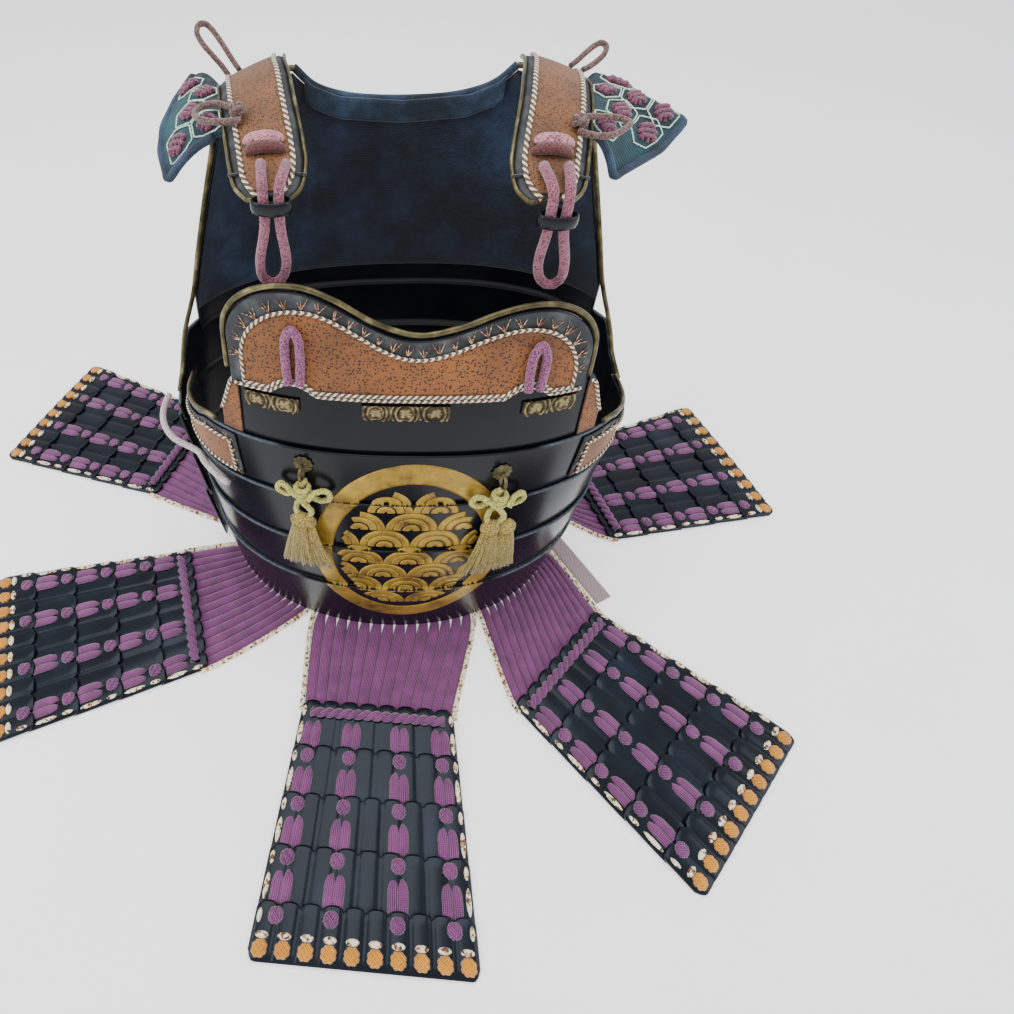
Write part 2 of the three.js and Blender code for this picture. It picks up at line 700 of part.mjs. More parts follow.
// Lacquered slider round the two legs of a loop.
function sliderRing(row) {
  const { wide, deep, wall: thick, high } = SLIDER;
  const outer = new THREE.Shape().absellipse(0, 0, wide, deep, 0, 2 * Math.PI);
  outer.holes.push(new THREE.Path().absellipse(0, 0, wide - thick, deep - thick, 0, 2 * Math.PI, true));
  const ring = new THREE.ExtrudeGeometry(outer, { depth: high, bevelEnabled: false, curveSegments: 6 });
  return ring.translate(0, 0, -high / 2).translate(loopX(row, row.slider), SLIDER.y, row.slider);
}

// Thin loops: one out to the side of each strap and one that stands up behind it.
const THIN_RADIUS = 2.1;
const THIN_LOOPS = [
  {
    name: "side_left",
    points: [[-124, 14, 471.2], [-132, 20, 471.5], [-142, 24, 471.5], [-151, 18, 471], [-153, 9, 470.5],
      [-147, 2, 470], [-136, 0, 470], [-128, 1, 470.1], [-121, 2, 470.6]],
  },
  {
    name: "side_right",
    points: [[102, 8, 470], [110, 11, 470.5], [120, 11, 470.5], [131, 10, 470], [136, 4, 469.5],
      [131, -2, 468.5], [121, -8, 467], [109, -6, 466.5], [101, -2, 467.3]],
  },
  {
    name: "upright_left",
    points: [[-134, 98, 464.9], [-139, 102, 470], [-147, 106, 480], [-156, 110, 489], [-160, 111, 490],
      [-159, 108, 487], [-153, 105, 478], [-147, 102, 468], [-143, 98, 461.5]],
  },
  {
    name: "upright_right",
    points: [[114, 98, 469.5], [119, 101, 472], [126, 106, 476], [134, 110, 479], [139, 111, 478],
      [139, 107, 475], [134, 102, 471.5], [128, 98, 469], [123, 95, 468]],
  },
];

// Quilted wings sewn to the straps' outer edges: their outer edge at five stations.
const WINGS = {
  left: [
    { y: 100, x: 159, z: 457 },
    { y: 76, x: 168, z: 451 },
    { y: 50, x: 175, z: 443 },
    { y: 26, x: 174, z: 436 },
    { y: 4, x: 167, z: 428 },
  ],
  right: [
    { y: 98, x: 152, z: 456 },
    { y: 82, x: 189, z: 447 },
    { y: 67, x: 211, z: 442 },
    { y: 42, x: 189, z: 433 },
    { y: 9, x: 149, z: 430 },
  ],
};
const WING_GAP = 0.6;
const WING_THICK = 3.4;
const WING_COLUMNS = 6;
const WING_ROWS = 9;
const WING_KNOT = 2.6;
const WING_SAG = 5;

function wing(side, rows) {
  const point = (i, j, top) => {
    const y = THREE.MathUtils.lerp(rows[0].y, rows[4].y, j / (WING_ROWS - 1));
    const strapAt = (column) => between([...strapStations(side)].reverse(), "y", y, column);
    const edgeX = strapAt("x") + strapAt("half") + WING_GAP;
    const edgeZ = strapAt("z") - strapAt("tilt") * strapAt("half") - WING_THICK / 2;
    const outerAt = (column) => between([...rows].reverse(), "y", y, column);
    const share = i / (WING_COLUMNS - 1);
    const inside = i > 0 && i < WING_COLUMNS - 1 && j > 0 && j < WING_ROWS - 1;
    const knot = top && inside && (i + j) % 2 === 0 ? WING_KNOT : 0;
    const sag = WING_SAG * Math.sin(Math.PI * share);
    const x = THREE.MathUtils.lerp(edgeX, outerAt("x"), share);
    const z = THREE.MathUtils.lerp(edgeZ, outerAt("z"), share) + sag;
    return new THREE.Vector3(side * x + STRAP_SHIFT, y, z + (top ? WING_THICK + knot : 0));
  };
  return wall(WING_COLUMNS, WING_ROWS, (i, j) => point(i, j, true), (i, j) => point(i, j, false));
}

for (const [name, side] of [["left", -1], ["right", 1]]) {
  addPiece("strap_" + name, strap(side), printedLeather);
  addPiece("buckle_" + name, strapBuckle(side), pinkCord);
  addPiece("wing_" + name, wing(side, WINGS[name]), quilted);
}
for (const row of STRAP_LOOPS) {
  addPiece("strap_loop_" + row.name, strapLoop(row), pinkCord);
  addPiece("slider_" + row.name, sliderRing(row), lacquer);
}
for (const { name, points } of THIN_LOOPS) {
  const route = points.map(([x, y, z]) => new THREE.Vector3(x, y, z));
  addPiece("loop_" + name, cordAlong(route, THIN_RADIUS, 13, 6), duskyCord);
}

// Tie cord at the open side, out of the back half and along the front to a cut end.
const TIE_RADIUS = 3;
const TIE_START = [[-226, 4, 218], [-229, -12, 215], [-227, -27, 212], [-217, -42, 208]];
const TIE_ANGLES = [-69, -64, -59, -54, -49];
const TIE_HEIGHT = 200;
const TIE_OUT = STEP_OUT + TIE_RADIUS + 0.1;
const tieRoute = [
  ...TIE_START.map(([x, y, z]) => new THREE.Vector3(x, y, z)),
  ...TIE_ANGLES.map((angle) => onFront(angle, TIE_HEIGHT, TIE_OUT)),
];
addPiece("side_tie", cordAlong(tieRoute, TIE_RADIUS, 16, 8), duskyCord);

// Skirt: where each panel's upper edge lies, where it points, and the arc of the hem it hangs from.
const PANELS = [
  { name: "front", x: -20, y: -224, heading: -94, from: -28, to: 28 },
  { name: "front_right", x: 172, y: -168, heading: -44.5, from: 31, to: 77 },
  { name: "side_right", x: 242, y: 53, heading: 16.4, from: 96, to: 142 },
  { name: "back_right", x: 88, y: 206, heading: 62, from: 145, to: 178 },
  { name: "back_left", x: -102, y: 206, heading: 118, from: 182, to: 215 },
  { name: "side_left", x: -269, y: 113, heading: 158.3, from: 218, to: 264 },
  { name: "front_left", x: -219, y: -112, heading: 196, from: 283, to: 329 },
];
const PANEL = { top: 152, bottom: 195, lame: 44, lames: 5, scales: 8, thick: 3.2, tail: 3.6, dome: 1.6 };
const PANEL_LONG = PANEL.lame * PANEL.lames;
const SCALLOP = 4;
const BRAIDS = 12;
const BRAID_THICK = 3;
const BRAID_UNDER = 9;
const BRAID_RECESS = 5;
const HEM_UNDER = 9;
const SWEEP = 55;
const BRAID_WIDTH = 0.97;

// A point of a panel: s down from its upper edge, t from -1 to 1 across it.
function onPanel({ x, y, heading }, s, t, z) {
  const a = THREE.MathUtils.degToRad(heading);
  const half = THREE.MathUtils.lerp(PANEL.top, PANEL.bottom, s / PANEL_LONG) / 2;
  return new THREE.Vector3(
    x + s * Math.cos(a) - t * half * Math.sin(a),
    y + s * Math.sin(a) + t * half * Math.cos(a),
    z,
  );
}

// Five lames of scales with scalloped heads, each head lying on the tail of the lame above it.
function laced(panel) {
  const columns = 2 * PANEL.scales + 1;
  const dome = (t) => PANEL.dome * (1 - t * t);
  const crest = (i) => (i % 2 === 0 ? SCALLOP : 0);
  const upper = [];
  for (let lame = 0; lame < PANEL.lames; lame++) {
    upper.push({ s: lame * PANEL.lame, wave: 1, z: PANEL.tail + PANEL.thick });
    if (lame < PANEL.lames - 1) upper.push({ s: (lame + 1) * PANEL.lame, wave: 1, z: PANEL.tail });
  }
  upper.push({ s: PANEL_LONG, wave: 0, z: PANEL.tail });
  const lower = [
    { s: 0, wave: 1, z: PANEL.tail },
    { s: BRAID_UNDER + 0.4 * BRAID_RECESS, wave: 0, z: PANEL.tail },
    { s: BRAID_UNDER + BRAID_RECESS, wave: 0, z: 0 },
    { s: PANEL_LONG, wave: 0, z: 0 },
  ];
  const points = [];
  const triangles = [];
  const place = ({ s, wave, z }, i, raised) => {
    const t = (2 * i) / (columns - 1) - 1;
    return onPanel(panel, s + wave * crest(i), t, z + (raised ? dome(t) : 0));
  };
  for (const row of upper) for (let i = 0; i < columns; i++) points.push(place(row, i, true));
  for (const row of lower) for (let i = 0; i < columns; i++) points.push(place(row, i, false));
  const top = (j, i) => j * columns + i;
  const base = (j, i) => (upper.length + j) * columns + i;
  const quad = (a, b, c, d) => triangles.push([a, b, c], [a, c, d]);
  for (let i = 0; i + 1 < columns; i++) {
    for (let j = 0; j + 1 < upper.length; j++) {
      quad(top(j, i), top(j + 1, i), top(j + 1, i + 1), top(j, i + 1));
    }
    for (let j = 0; j + 1 < lower.length; j++) {
      quad(base(j, i), base(j, i + 1), base(j + 1, i + 1), base(j + 1, i));
    }
    quad(top(0, i), top(0, i + 1), base(0, i + 1), base(0, i));
    const [last, foot] = [upper.length - 1, lower.length - 1];
    quad(top(last, i), base(foot, i), base(foot, i + 1), top(last, i + 1));
  }
  for (const i of [0, columns - 1]) {
    const outline = [
      ...upper.map((row, j) => ({ s: row.s + row.wave * crest(i), z: row.z, id: top(j, i) })),
      ...lower.map((row, j) => ({ s: row.s + row.wave * crest(i), z: row.z, id: base(j, i) })).reverse(),
    ];
    const flat = outline.map(({ s, z }) => new THREE.Vector2(s, z));
    const clockwise = THREE.ShapeUtils.isClockWise(flat);
    if (clockwise) {
      flat.reverse();
      outline.reverse();
    }
    for (const [a, b, c] of THREE.ShapeUtils.triangulateShape(flat, [])) {
      const ids = [outline[a].id, outline[b].id, outline[c].id];
      triangles.push(i === 0 ? ids : ids.reverse());
    }
  }
  return closedBody(points, triangles);
}

// A plan point of the hem at an angle counted from the front round by the right, moved out.
function hemPoint(angle, out) {
  if (angle <= 90) return onFront(angle, HEM, out);
  if (angle >= 270) return onFront(angle - 360, HEM, out);
  return onBack(180 - angle, HEM, out);
}

// Flat braids side by side from under the hem to under the panel's upper edge.
function suspension(panel) {
  const shares = [0, 0.33, 0.67, 1];
  const point = (column, j, z) => {
    const share = column / (2 * BRAIDS);
    const angle = THREE.MathUtils.lerp(panel.from, panel.to, share);
    const start = hemPoint(angle, -HEM_UNDER);
    const outward = hemPoint(angle, 1).sub(start).setZ(0).normalize();
    const end = onPanel(panel, BRAID_UNDER, (2 * share - 1) * BRAID_WIDTH, 0);
    const heading = THREE.MathUtils.degToRad(panel.heading);
    const ahead = new THREE.Vector3(Math.cos(heading), Math.sin(heading), 0);
    const v = shares[j];
    const place = new THREE.Vector3()
      .addScaledVector(start, 2 * v ** 3 - 3 * v ** 2 + 1)
      .addScaledVector(outward, SWEEP * (v ** 3 - 2 * v ** 2 + v))
      .addScaledVector(end, -2 * v ** 3 + 3 * v ** 2)
      .addScaledVector(ahead, SWEEP * (v ** 3 - v ** 2));
    return place.setZ(z);
  };
  const rows = shares.length;
  const points = [];
  const triangles = [];
  for (let i = 0; i <= 2 * BRAIDS; i++) {
    const z = i % 2 === 0 ? BRAID_THICK * 0.5 : BRAID_THICK;
    for (let j = 0; j < rows; j++) points.push(point(i, j, z));
  }
  for (let k = 0; k <= BRAIDS; k++) {
    for (let j = 0; j < rows; j++) points.push(point(2 * k, j, 0));
  }
  const top = (i, j) => i * rows + j;
  const base = (k, j) => (2 * BRAIDS + 1 + k) * rows + j;
  const quad = (a, b, c, d) => triangles.push([a, b, c], [a, c, d]);
  for (let j = 0; j + 1 < rows; j++) {
    for (let i = 0; i < 2 * BRAIDS; i++) {
      quad(top(i, j), top(i, j + 1), top(i + 1, j + 1), top(i + 1, j));
    }
    for (let k = 0; k < BRAIDS; k++) {
      quad(base(k, j), base(k + 1, j), base(k + 1, j + 1), base(k, j + 1));
    }
    quad(top(0, j), base(0, j), base(0, j + 1), top(0, j + 1));
    const [edge, corner] = [2 * BRAIDS, BRAIDS];
    quad(top(edge, j), top(edge, j + 1), base(corner, j + 1), base(corner, j));
  }
  for (let k = 0; k < BRAIDS; k++) {
    const [a, c, b] = [2 * k, 2 * k + 1, 2 * k + 2];
    const far = rows - 1;
    triangles.push([base(k, 0), top(a, 0), top(c, 0)]);
    triangles.push([base(k, 0), top(c, 0), base(k + 1, 0)]);
    triangles.push([base(k + 1, 0), top(c, 0), top(b, 0)]);
    triangles.push([base(k, far), top(c, far), top(a, far)]);
    triangles.push([base(k, far), base(k + 1, far), top(c, far)]);
    triangles.push([base(k + 1, far), top(b, far), top(c, far)]);
  }
  return closedBody(points, triangles);
}

for (const panel of PANELS) {
  addPiece("panel_" + panel.name, laced(panel), lacquer);
  addPiece("lacing_" + panel.name, suspension(panel), purpleBraid);
}

// Flat woven band that comes out from under the hem and lies on the floor beside the lacing.
const BAND = [
  { x: 181, y: -4, z: 1.8 },
  { x: 189, y: -12, z: 1.8 },
  { x: 197, y: -22, z: 0 },
  { x: 204, y: -34, z: 0 },
  { x: 222, y: -68, z: 0 },
  { x: 239, y: -100, z: 0 },
];
const BAND_HALF = 10;
const BAND_THICK = 1.6;

function bandPoint(i, j, z) {
  const before = BAND[Math.max(i - 1, 0)];
  const after = BAND[Math.min(i + 1, BAND.length - 1)];
  const run = new THREE.Vector2(after.x - before.x, after.y - before.y).normalize();
  const across = (2 * j - 1) * BAND_HALF;
  return new THREE.Vector3(BAND[i].x - run.y * across, BAND[i].y + run.x * across, BAND[i].z + z);
}

addPiece(
  "waist_band",
  wall(BAND.length, 2, (i, j) => bandPoint(i, j, BAND_THICK), (i, j) => bandPoint(i, j, 0)),
  herringbone,
);

// The origin is on the floor under the middle of the whole outline.
const outline = new THREE.Box3().setFromObject(parts);
const middle = outline.getCenter(new THREE.Vector3());
parts.position.set(-middle.x, -middle.y, -outline.min.z);

const cuirass = new THREE.Group();
cuirass.add(parts);

export default cuirass;
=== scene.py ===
import bpy
import numpy as np
from mathutils import Matrix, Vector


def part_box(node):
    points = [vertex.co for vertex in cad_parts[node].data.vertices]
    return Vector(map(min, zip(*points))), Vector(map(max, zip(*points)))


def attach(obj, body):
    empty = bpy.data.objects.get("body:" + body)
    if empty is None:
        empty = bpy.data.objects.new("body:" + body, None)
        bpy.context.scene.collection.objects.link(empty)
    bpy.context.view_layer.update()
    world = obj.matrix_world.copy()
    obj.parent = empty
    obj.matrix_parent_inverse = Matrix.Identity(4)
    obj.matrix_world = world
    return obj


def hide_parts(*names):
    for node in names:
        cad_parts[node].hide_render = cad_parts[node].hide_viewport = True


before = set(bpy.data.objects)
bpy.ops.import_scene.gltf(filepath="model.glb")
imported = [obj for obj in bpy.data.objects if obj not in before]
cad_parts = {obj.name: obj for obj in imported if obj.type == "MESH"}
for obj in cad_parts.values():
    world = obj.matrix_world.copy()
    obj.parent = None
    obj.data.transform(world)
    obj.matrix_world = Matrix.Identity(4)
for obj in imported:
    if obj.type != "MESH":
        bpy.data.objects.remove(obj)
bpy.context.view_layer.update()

# View, floor and light. The armour stands on a pale floor under soft studio light, and the camera
# looks down on it from in front, a little to its left.
side_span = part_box("front_lame_1")
FRONT_REACH = 139.9
AXIS = np.array([500 * (side_span[0].x + side_span[1].x),
                 1000 * side_span[0].y + FRONT_REACH, 0])
CAMERA_AT = np.array([-42, -452, 663.9])
CAMERA_DOWN = 0.9236
CAMERA_ROLL = 0.0082
CAMERA_LENS, CAMERA_SENSOR = 23.08, 36
CAMERA_SHIFT = (0.1467, -0.013)
WORLD_LIGHT = 1.15
FLOOR_GLOW = 0.55
FLOOR_HALF, FLOOR_DROP = 6, 0.0002


def metres(points):
    """Millimetres from the cuirass's own axis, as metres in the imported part's frame."""
    return (np.asarray(points, float) + AXIS) / 1000


def linear(colour):
    """An sRGB hex colour as linear red, green, blue and an alpha of one."""
    parts = np.array([int(colour[i:i + 2], 16) for i in (0, 2, 4)]) / 255
    low, high = parts / 12.92, ((parts + 0.055) / 1.055) ** 2.4
    return (*np.where(parts <= 0.04045, low, high), 1.0)


def placed(name, data):
    """An object of the scene for a mesh, a lamp or a camera."""
    made = bpy.data.objects.new(name, data)
    bpy.context.collection.objects.link(made)
    return made


ahead = np.array([0, np.cos(CAMERA_DOWN), -np.sin(CAMERA_DOWN)])
level = np.array([1, 0, 0])
above = np.array([0, np.sin(CAMERA_DOWN), np.cos(CAMERA_DOWN)])
right = np.cos(CAMERA_ROLL) * level + np.sin(CAMERA_ROLL) * above
upward = -np.sin(CAMERA_ROLL) * level + np.cos(CAMERA_ROLL) * above
lens = bpy.data.cameras.new("camera")
lens.lens, lens.sensor_width = CAMERA_LENS, CAMERA_SENSOR
lens.shift_x, lens.shift_y = CAMERA_SHIFT
lens.clip_start = 0.01
camera = placed("camera", lens)
turn = np.eye(4)
turn[:3, 0], turn[:3, 1], turn[:3, 2] = right, upward, -ahead
turn[:3, 3] = metres(CAMERA_AT)
camera.matrix_world = Matrix(turn.tolist())
bpy.context.scene.camera = camera

LIGHTS = [
    # name, place in metres, size in metres, watts
    ("overhead softbox", (-0.2, 0.15, 1.9), 1.6, 24),
    ("left softbox", (-1.5, -0.6, 1.2), 1.1, 17),
    ("right softbox", (1.5, -0.5, 1.1), 1.0, 10),
]
for name, place, size, watts in LIGHTS:
    softbox = bpy.data.lights.new(name, "AREA")
    softbox.size = size
    softbox.energy = watts
    lamp = placed(name, softbox)
    lamp.location = place
    lamp.rotation_euler = (-lamp.location).to_track_quat("-Z", "Y").to_euler()

world = bpy.data.worlds.new("studio")
world.use_nodes = True
world.node_tree.nodes["Background"].inputs[0].default_value = linear("f4f5f8")
world.node_tree.nodes["Background"].inputs[1].default_value = WORLD_LIGHT
bpy.context.scene.world = world


def node(tree, kind, values=None, links=None, stops=None, **settings):
    """Adds a shader node with its properties, socket numbers, links and colour stops."""
    made = tree.nodes.new("ShaderNode" + kind)
    for name, value in settings.items():
        setattr(made, name, value)
    for name, value in (values or {}).items():
        made.inputs[name].default_value = value
    for name, source in (links or {}).items():
        tree.links.new(source, made.inputs[name])
    if stops:
        ramp = made.color_ramp.elements
        while len(ramp) < len(stops):
            ramp.new(0.5)
        for element, (at, colour) in zip(ramp, stops):
            element.position = at
            element.color = linear(colour)
    return made


def material(name, surface):
    """A material whose tree the surface function fills and whose shader it returns."""
    made = bpy.data.materials.new(name)
    made.use_nodes = True
    tree = made.node_tree
    tree.nodes.clear()
    node(tree, "OutputMaterial", links={"Surface": surface(tree).outputs[0]})
    return made


def noise(tree, scale, detail=2.0, roughness=0.5):
    """Cloudy noise from 0 to 1 over the object's own space, in about scale clouds a metre."""
    place = node(tree, "TexCoord").outputs["Object"]
    return node(tree, "TexNoise", {"Scale": scale, "Detail": detail, "Roughness": roughness},
                {"Vector": place}).outputs[0]


def waves(tree, vector, values, axis="X"):
    """Parallel bands from 0 to 1 that follow each other along an axis of a vector."""
    return node(tree, "TexWave", values, {"Vector": vector}, bands_direction=axis).outputs["Fac"]


def ramp(tree, value, stops):
    """The colour at a value from 0 to 1, between stops of place and sRGB hex."""
    return node(tree, "ValToRGB", links={0: value}, stops=stops).outputs[0]


def spread(tree, value, low, high):
    """A value from 0 to 1 spread between low and high."""
    return node(tree, "MapRange", {3: low, 4: high}, {0: value}).outputs[0]


def calculate(tree, operation, *terms):
    """An arithmetic node whose terms are numbers or other nodes' outputs."""
    numbers = {i: term for i, term in enumerate(terms) if isinstance(term, float)}
    links = {i: term for i, term in enumerate(terms) if i not in numbers}
    return node(tree, "Math", numbers, links, operation=operation).outputs[0]


def principled(tree, colour, relief, values, links=None):
    """A Principled shader with a colour and a relief: its height, strength and depth in metres."""
    height, strength, depth = relief
    bump = node(tree, "Bump", {"Strength": strength, "Distance": depth}, {"Height": height})
    return node(tree, "BsdfPrincipled", values,
                {"Base Color": colour, "Normal": bump.outputs[0], **(links or {})})


def grid_faces(rows, columns, wrap):
    """Corners of the quads of a grid, the last column joined to the first if it wraps."""
    i = np.arange(rows - 1)[:, None]
    j = np.arange(columns if wrap else columns - 1)[None, :]
    near, far = i * columns + j, i * columns + (j + 1) % columns
    return np.stack([near, far, far + columns, near + columns], -1).reshape(-1, 4)


def grid_lengths(points, wrap):
    """UV of each quad's corners in metres: arc length along the rows and across the columns."""
    ring = np.concatenate([points, points[:, :1]], 1) if wrap else points
    along = np.linalg.norm(np.diff(points, axis=0), axis=2).mean(1)
    across = np.linalg.norm(np.diff(ring, axis=1), axis=2).mean(0)
    u = np.concatenate([[0], np.cumsum(along)]) / 1000
    v = np.concatenate([[0], np.cumsum(across)]) / 1000
    v -= v[-1] / 2
    near, far = np.broadcast_arrays(u[:-1, None], v[None, :-1])
    nexts = np.broadcast_arrays(u[1:, None], v[None, 1:])
    corners = [(near, far), (near, nexts[1]), (nexts[0], nexts[1]), (nexts[0], far)]
    return np.stack([np.stack(corner, -1) for corner in corners], 2).reshape(-1, 2)


def piece(name, shells, finish, replaces=(), thick=0):
    """One mesh from grids of points in mm. A shell is (points, wrap): a wrapped grid is a tube
    whose two end rings are closed with a cap. With thick, open grids get a wall inwards."""
    places, quads, maps, start = [], [], [], 0
    caps = []
    for points, wrap in shells:
        rows, columns = points.shape[:2]
        places.append(points.reshape(-1, 3))
        quads.append(grid_faces(rows, columns, wrap) + start)
        maps.append(grid_lengths(points, wrap))
        if wrap:
            caps.append(list(range(start, start + columns))[::-1])
            caps.append(list(range(start + (rows - 1) * columns, start + rows * columns)))
        start += rows * columns
    mesh = bpy.data.meshes.new(name)
    mesh.from_pydata(metres(np.concatenate(places)), [], np.concatenate(quads).tolist() + caps)
    uv = np.concatenate(maps)
    corner_uv = np.zeros((len(mesh.loops), 2))
    corner_uv[:len(uv)] = uv
    mesh.uv_layers.new(name="UVMap").data.foreach_set("uv", corner_uv.ravel())
    mesh.materials.append(finish)
    mesh.polygons.foreach_set("use_smooth", [True] * len(mesh.polygons))
    mesh.update()
    made = placed(name, mesh)
    if thick:
        walled = made.modifiers.new("wall", "SOLIDIFY")
        walled.thickness = thick / 1000
        walled.offset = -1
    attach(made, "root")
    if replaces:
        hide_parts(*replaces)
    return made


def floor_surface(tree):
    """Matt paper, near white, with some light of its own, so that it shows as pale as the
    photograph's floor."""
    colour = ramp(tree, noise(tree, 6.0), [(0, "f6f6f6"), (1, "fcfcfc")])
    return node(tree, "BsdfPrincipled", {"Roughness": 0.9, "Emission Strength": FLOOR_GLOW},
                {"Base Color": colour, "Emission Color": colour})


corners = np.array([[[-1, -1], [1, -1]], [[-1, 1], [1, 1]]]) * FLOOR_HALF
floor_mesh = bpy.data.meshes.new("floor")
floor_mesh.from_pydata(
    np.c_[corners.reshape(-1, 2), np.full(4, -FLOOR_DROP)], [], [(0, 1, 3, 2)])
floor_mesh.materials.append(material("matt paper floor", floor_surface))
floor = placed("floor", floor_mesh)


# Free cords: the loops that hang from the straps' front ends, the thin loops beside and behind the
# straps, and the tie at the open side. Each is a round silk braid with a soft, speckled face.
SPLINE_STEPS = 400
UP = (0, 0, 1)
SIDES = (("left", -1), ("right", 1))


def reach_along(points):
    """Distance along a line from its first point to each of its points."""
    return np.concatenate([[0], np.cumsum(np.linalg.norm(np.diff(points, axis=0), axis=1))])


def smoothed(points, count):
    """A centripetal Catmull-Rom spline through the points, by Barry and Goldman's pyramid,
    sampled evenly by arc length."""
    points = np.asarray(points, float)
    before, after = 2 * points[0] - points[1], 2 * points[-1] - points[-2]
    nodes = np.vstack([before, points, after])
    knots = np.concatenate([[0], np.cumsum(np.linalg.norm(np.diff(nodes, axis=0), axis=1) ** 0.5)])
    fine = np.linspace(knots[1], knots[-2], SPLINE_STEPS)
    k = np.clip(np.searchsorted(knots, fine, "right") - 1, 1, len(nodes) - 3)
    t0, t1, t2, t3 = (knots[k + i][:, None] for i in (-1, 0, 1, 2))
    p0, p1, p2, p3 = (nodes[k + i] for i in (-1, 0, 1, 2))
    t = fine[:, None]
    a1 = (t1 - t) / (t1 - t0) * p0 + (t - t0) / (t1 - t0) * p1
    a2 = (t2 - t) / (t2 - t1) * p1 + (t - t1) / (t2 - t1) * p2
    a3 = (t3 - t) / (t3 - t2) * p2 + (t - t2) / (t3 - t2) * p3
    b1 = (t2 - t) / (t2 - t0) * a1 + (t - t0) / (t2 - t0) * a2
    b2 = (t3 - t) / (t3 - t1) * a2 + (t - t1) / (t3 - t1) * a3
    path = (t2 - t) / (t2 - t1) * b1 + (t - t1) / (t2 - t1) * b2
    reach = reach_along(path)
    places = np.linspace(0, reach[-1], count)
    return np.stack([np.interp(places, reach, path[:, i]) for i in range(3)], 1)


def unit(vectors):
    """Vectors at a length of one."""
    return vectors / np.maximum(np.linalg.norm(vectors, axis=-1, keepdims=True), 1e-9)


def band(path, up, wide, high, sides=8, strands=0, pitch=1, relief=0):
    """A closed band along a path: an ellipse at each point, its half axes wide across and high
    along up. With strands, its radius swells as cos(strands (angle - turns)), so it is a rope."""
    path = np.asarray(path, float)
    tangent = unit(np.gradient(path, axis=0))
    across = unit(np.cross(tangent, np.broadcast_to(up, path.shape)))
    out = np.cross(across, tangent)
    angle = np.linspace(0, 2 * np.pi, sides, endpoint=False)
    reach = reach_along(path)
    swell = 1 + relief * np.cos(strands * angle[None, :] - 2 * np.pi * reach[:, None] / pitch)
    wide = np.broadcast_to(wide, len(path))[:, None] * swell
    high = np.broadcast_to(high, len(path))[:, None] * swell
    ring = wide[..., None] * np.cos(angle)[None, :, None] * across[:, None]
    ring = ring + high[..., None] * np.sin(angle)[None, :, None] * out[:, None]
    return (path[:, None] + ring)[:, ::-1], True


def braid_surface(light, middle, dark):
    """Round or flat silk braid: crossing stitches, drawn near twice as coarse as the real plait
    so that they show, with darker specks of about 1 mm between the strands."""
    def surface(tree):
        uv = node(tree, "TexCoord").outputs["UV"]
        colour = ramp(tree, noise(tree, 900.0, 3.0),
                      [(0.38, dark), (0.48, middle), (0.66, light)])
        lines = []
        for turned in (0.7, -0.7):
            slant = node(tree, "Mapping", {"Rotation": (0, 0, turned)}, {"Vector": uv})
            lines.append(waves(tree, slant.outputs[0], {"Scale": 130.0, "Distortion": 0.6}))
        plait = calculate(tree, "MULTIPLY", *lines)
        return principled(tree, colour, (plait, 0.35, 0.0012),
                          {"Roughness": 0.82, "Sheen Weight": 0.3})
    return surface


PINK_SILK = material("mauve pink silk braid", braid_surface("9c5e70", "7c4154", "381826"))
DUSKY_SILK = material("dusky brown silk braid", braid_surface("80605a", "5e443f", "2c1e1e"))
CORD_RADIUS = 3.4
LOOP_TOP = 459.3
STRAP_LOOPS = {
    # name: x, foot's x, foot's height
    "left": (-98, -104, 386),
    "right": (83, 93, 386),
}
LOOP_ROUTE = [
    # half the legs' distance, y, height
    (8.2, -33, 459.3), (6, -52, 458), (5, -60, 454.5), (5, -61.4, 446), (5, -61.4, 433),
    (9, -58, 404), (6.5, -55, 390), (0, -55, 386),
]


def free_cord(name, route, radius, finish, count):
    """A round cord on a given route, whose plait is a faint swell of its strands."""
    path = smoothed(route, count)
    tube = band(path, (0.31, 0.22, 0.92), radius, radius, sides=14, strands=3,
                pitch=radius * 2.6, relief=0.012)
    made = piece(name, [tube], finish, replaces=[name.replace("cord_", "")])


def loop_middle(name, z):
    """The x midway between a strap loop's legs, which swings aside with the square of the drop."""
    x, foot_x, foot = STRAP_LOOPS[name]
    return x + (foot_x - x) * ((LOOP_TOP - z) / (LOOP_TOP - foot)) ** 2


for name in STRAP_LOOPS:
    route = [(loop_middle(name, z) - apart, y, z) for apart, y, z in LOOP_ROUTE]
    route += [(loop_middle(name, z) + apart, y, z) for apart, y, z in LOOP_ROUTE[-2::-1]]
    free_cord("cord_strap_loop_" + name, route, CORD_RADIUS, PINK_SILK, 40)

THIN_RADIUS = 2.1
THIN_LOOPS = {
    "side_left": [(-124, 14, 471.2), (-132, 20, 471.5), (-142, 24, 471.5), (-151, 18, 471),
                  (-153, 9, 470.5), (-147, 2, 470), (-136, 0, 470), (-128, 1, 470.1),
                  (-121, 2, 470.6)],
    "side_right": [(102, 8, 470), (110, 11, 470.5), (120, 11, 470.5), (131, 10, 470),
                   (136, 4, 469.5), (131, -2, 468.5), (121, -8, 467), (109, -6, 466.5),
                   (101, -2, 467.3)],
    "upright_left": [(-134, 98, 464.9), (-139, 102, 470), (-146, 107, 479), (-153, 111.5, 486.5),
                     (-157.5, 112.5, 490), (-162, 110.5, 490), (-163.5, 106, 486.5),
                     (-160, 103, 480.5), (-154, 101.5, 474), (-147, 100, 466.5),
                     (-143, 98, 461.5)],
    "upright_right": [(114, 98, 469.5), (119, 101, 472), (126, 106, 476), (133, 110, 479.5),
                      (137, 111, 480.5), (140.5, 108.5, 479), (139.5, 105, 475.5),
                      (134, 101.5, 471.5), (128, 98, 469), (123, 95, 468)],
}
for name, route in THIN_LOOPS.items():
    free_cord("cord_loop_" + name, route, THIN_RADIUS, DUSKY_SILK, 44)


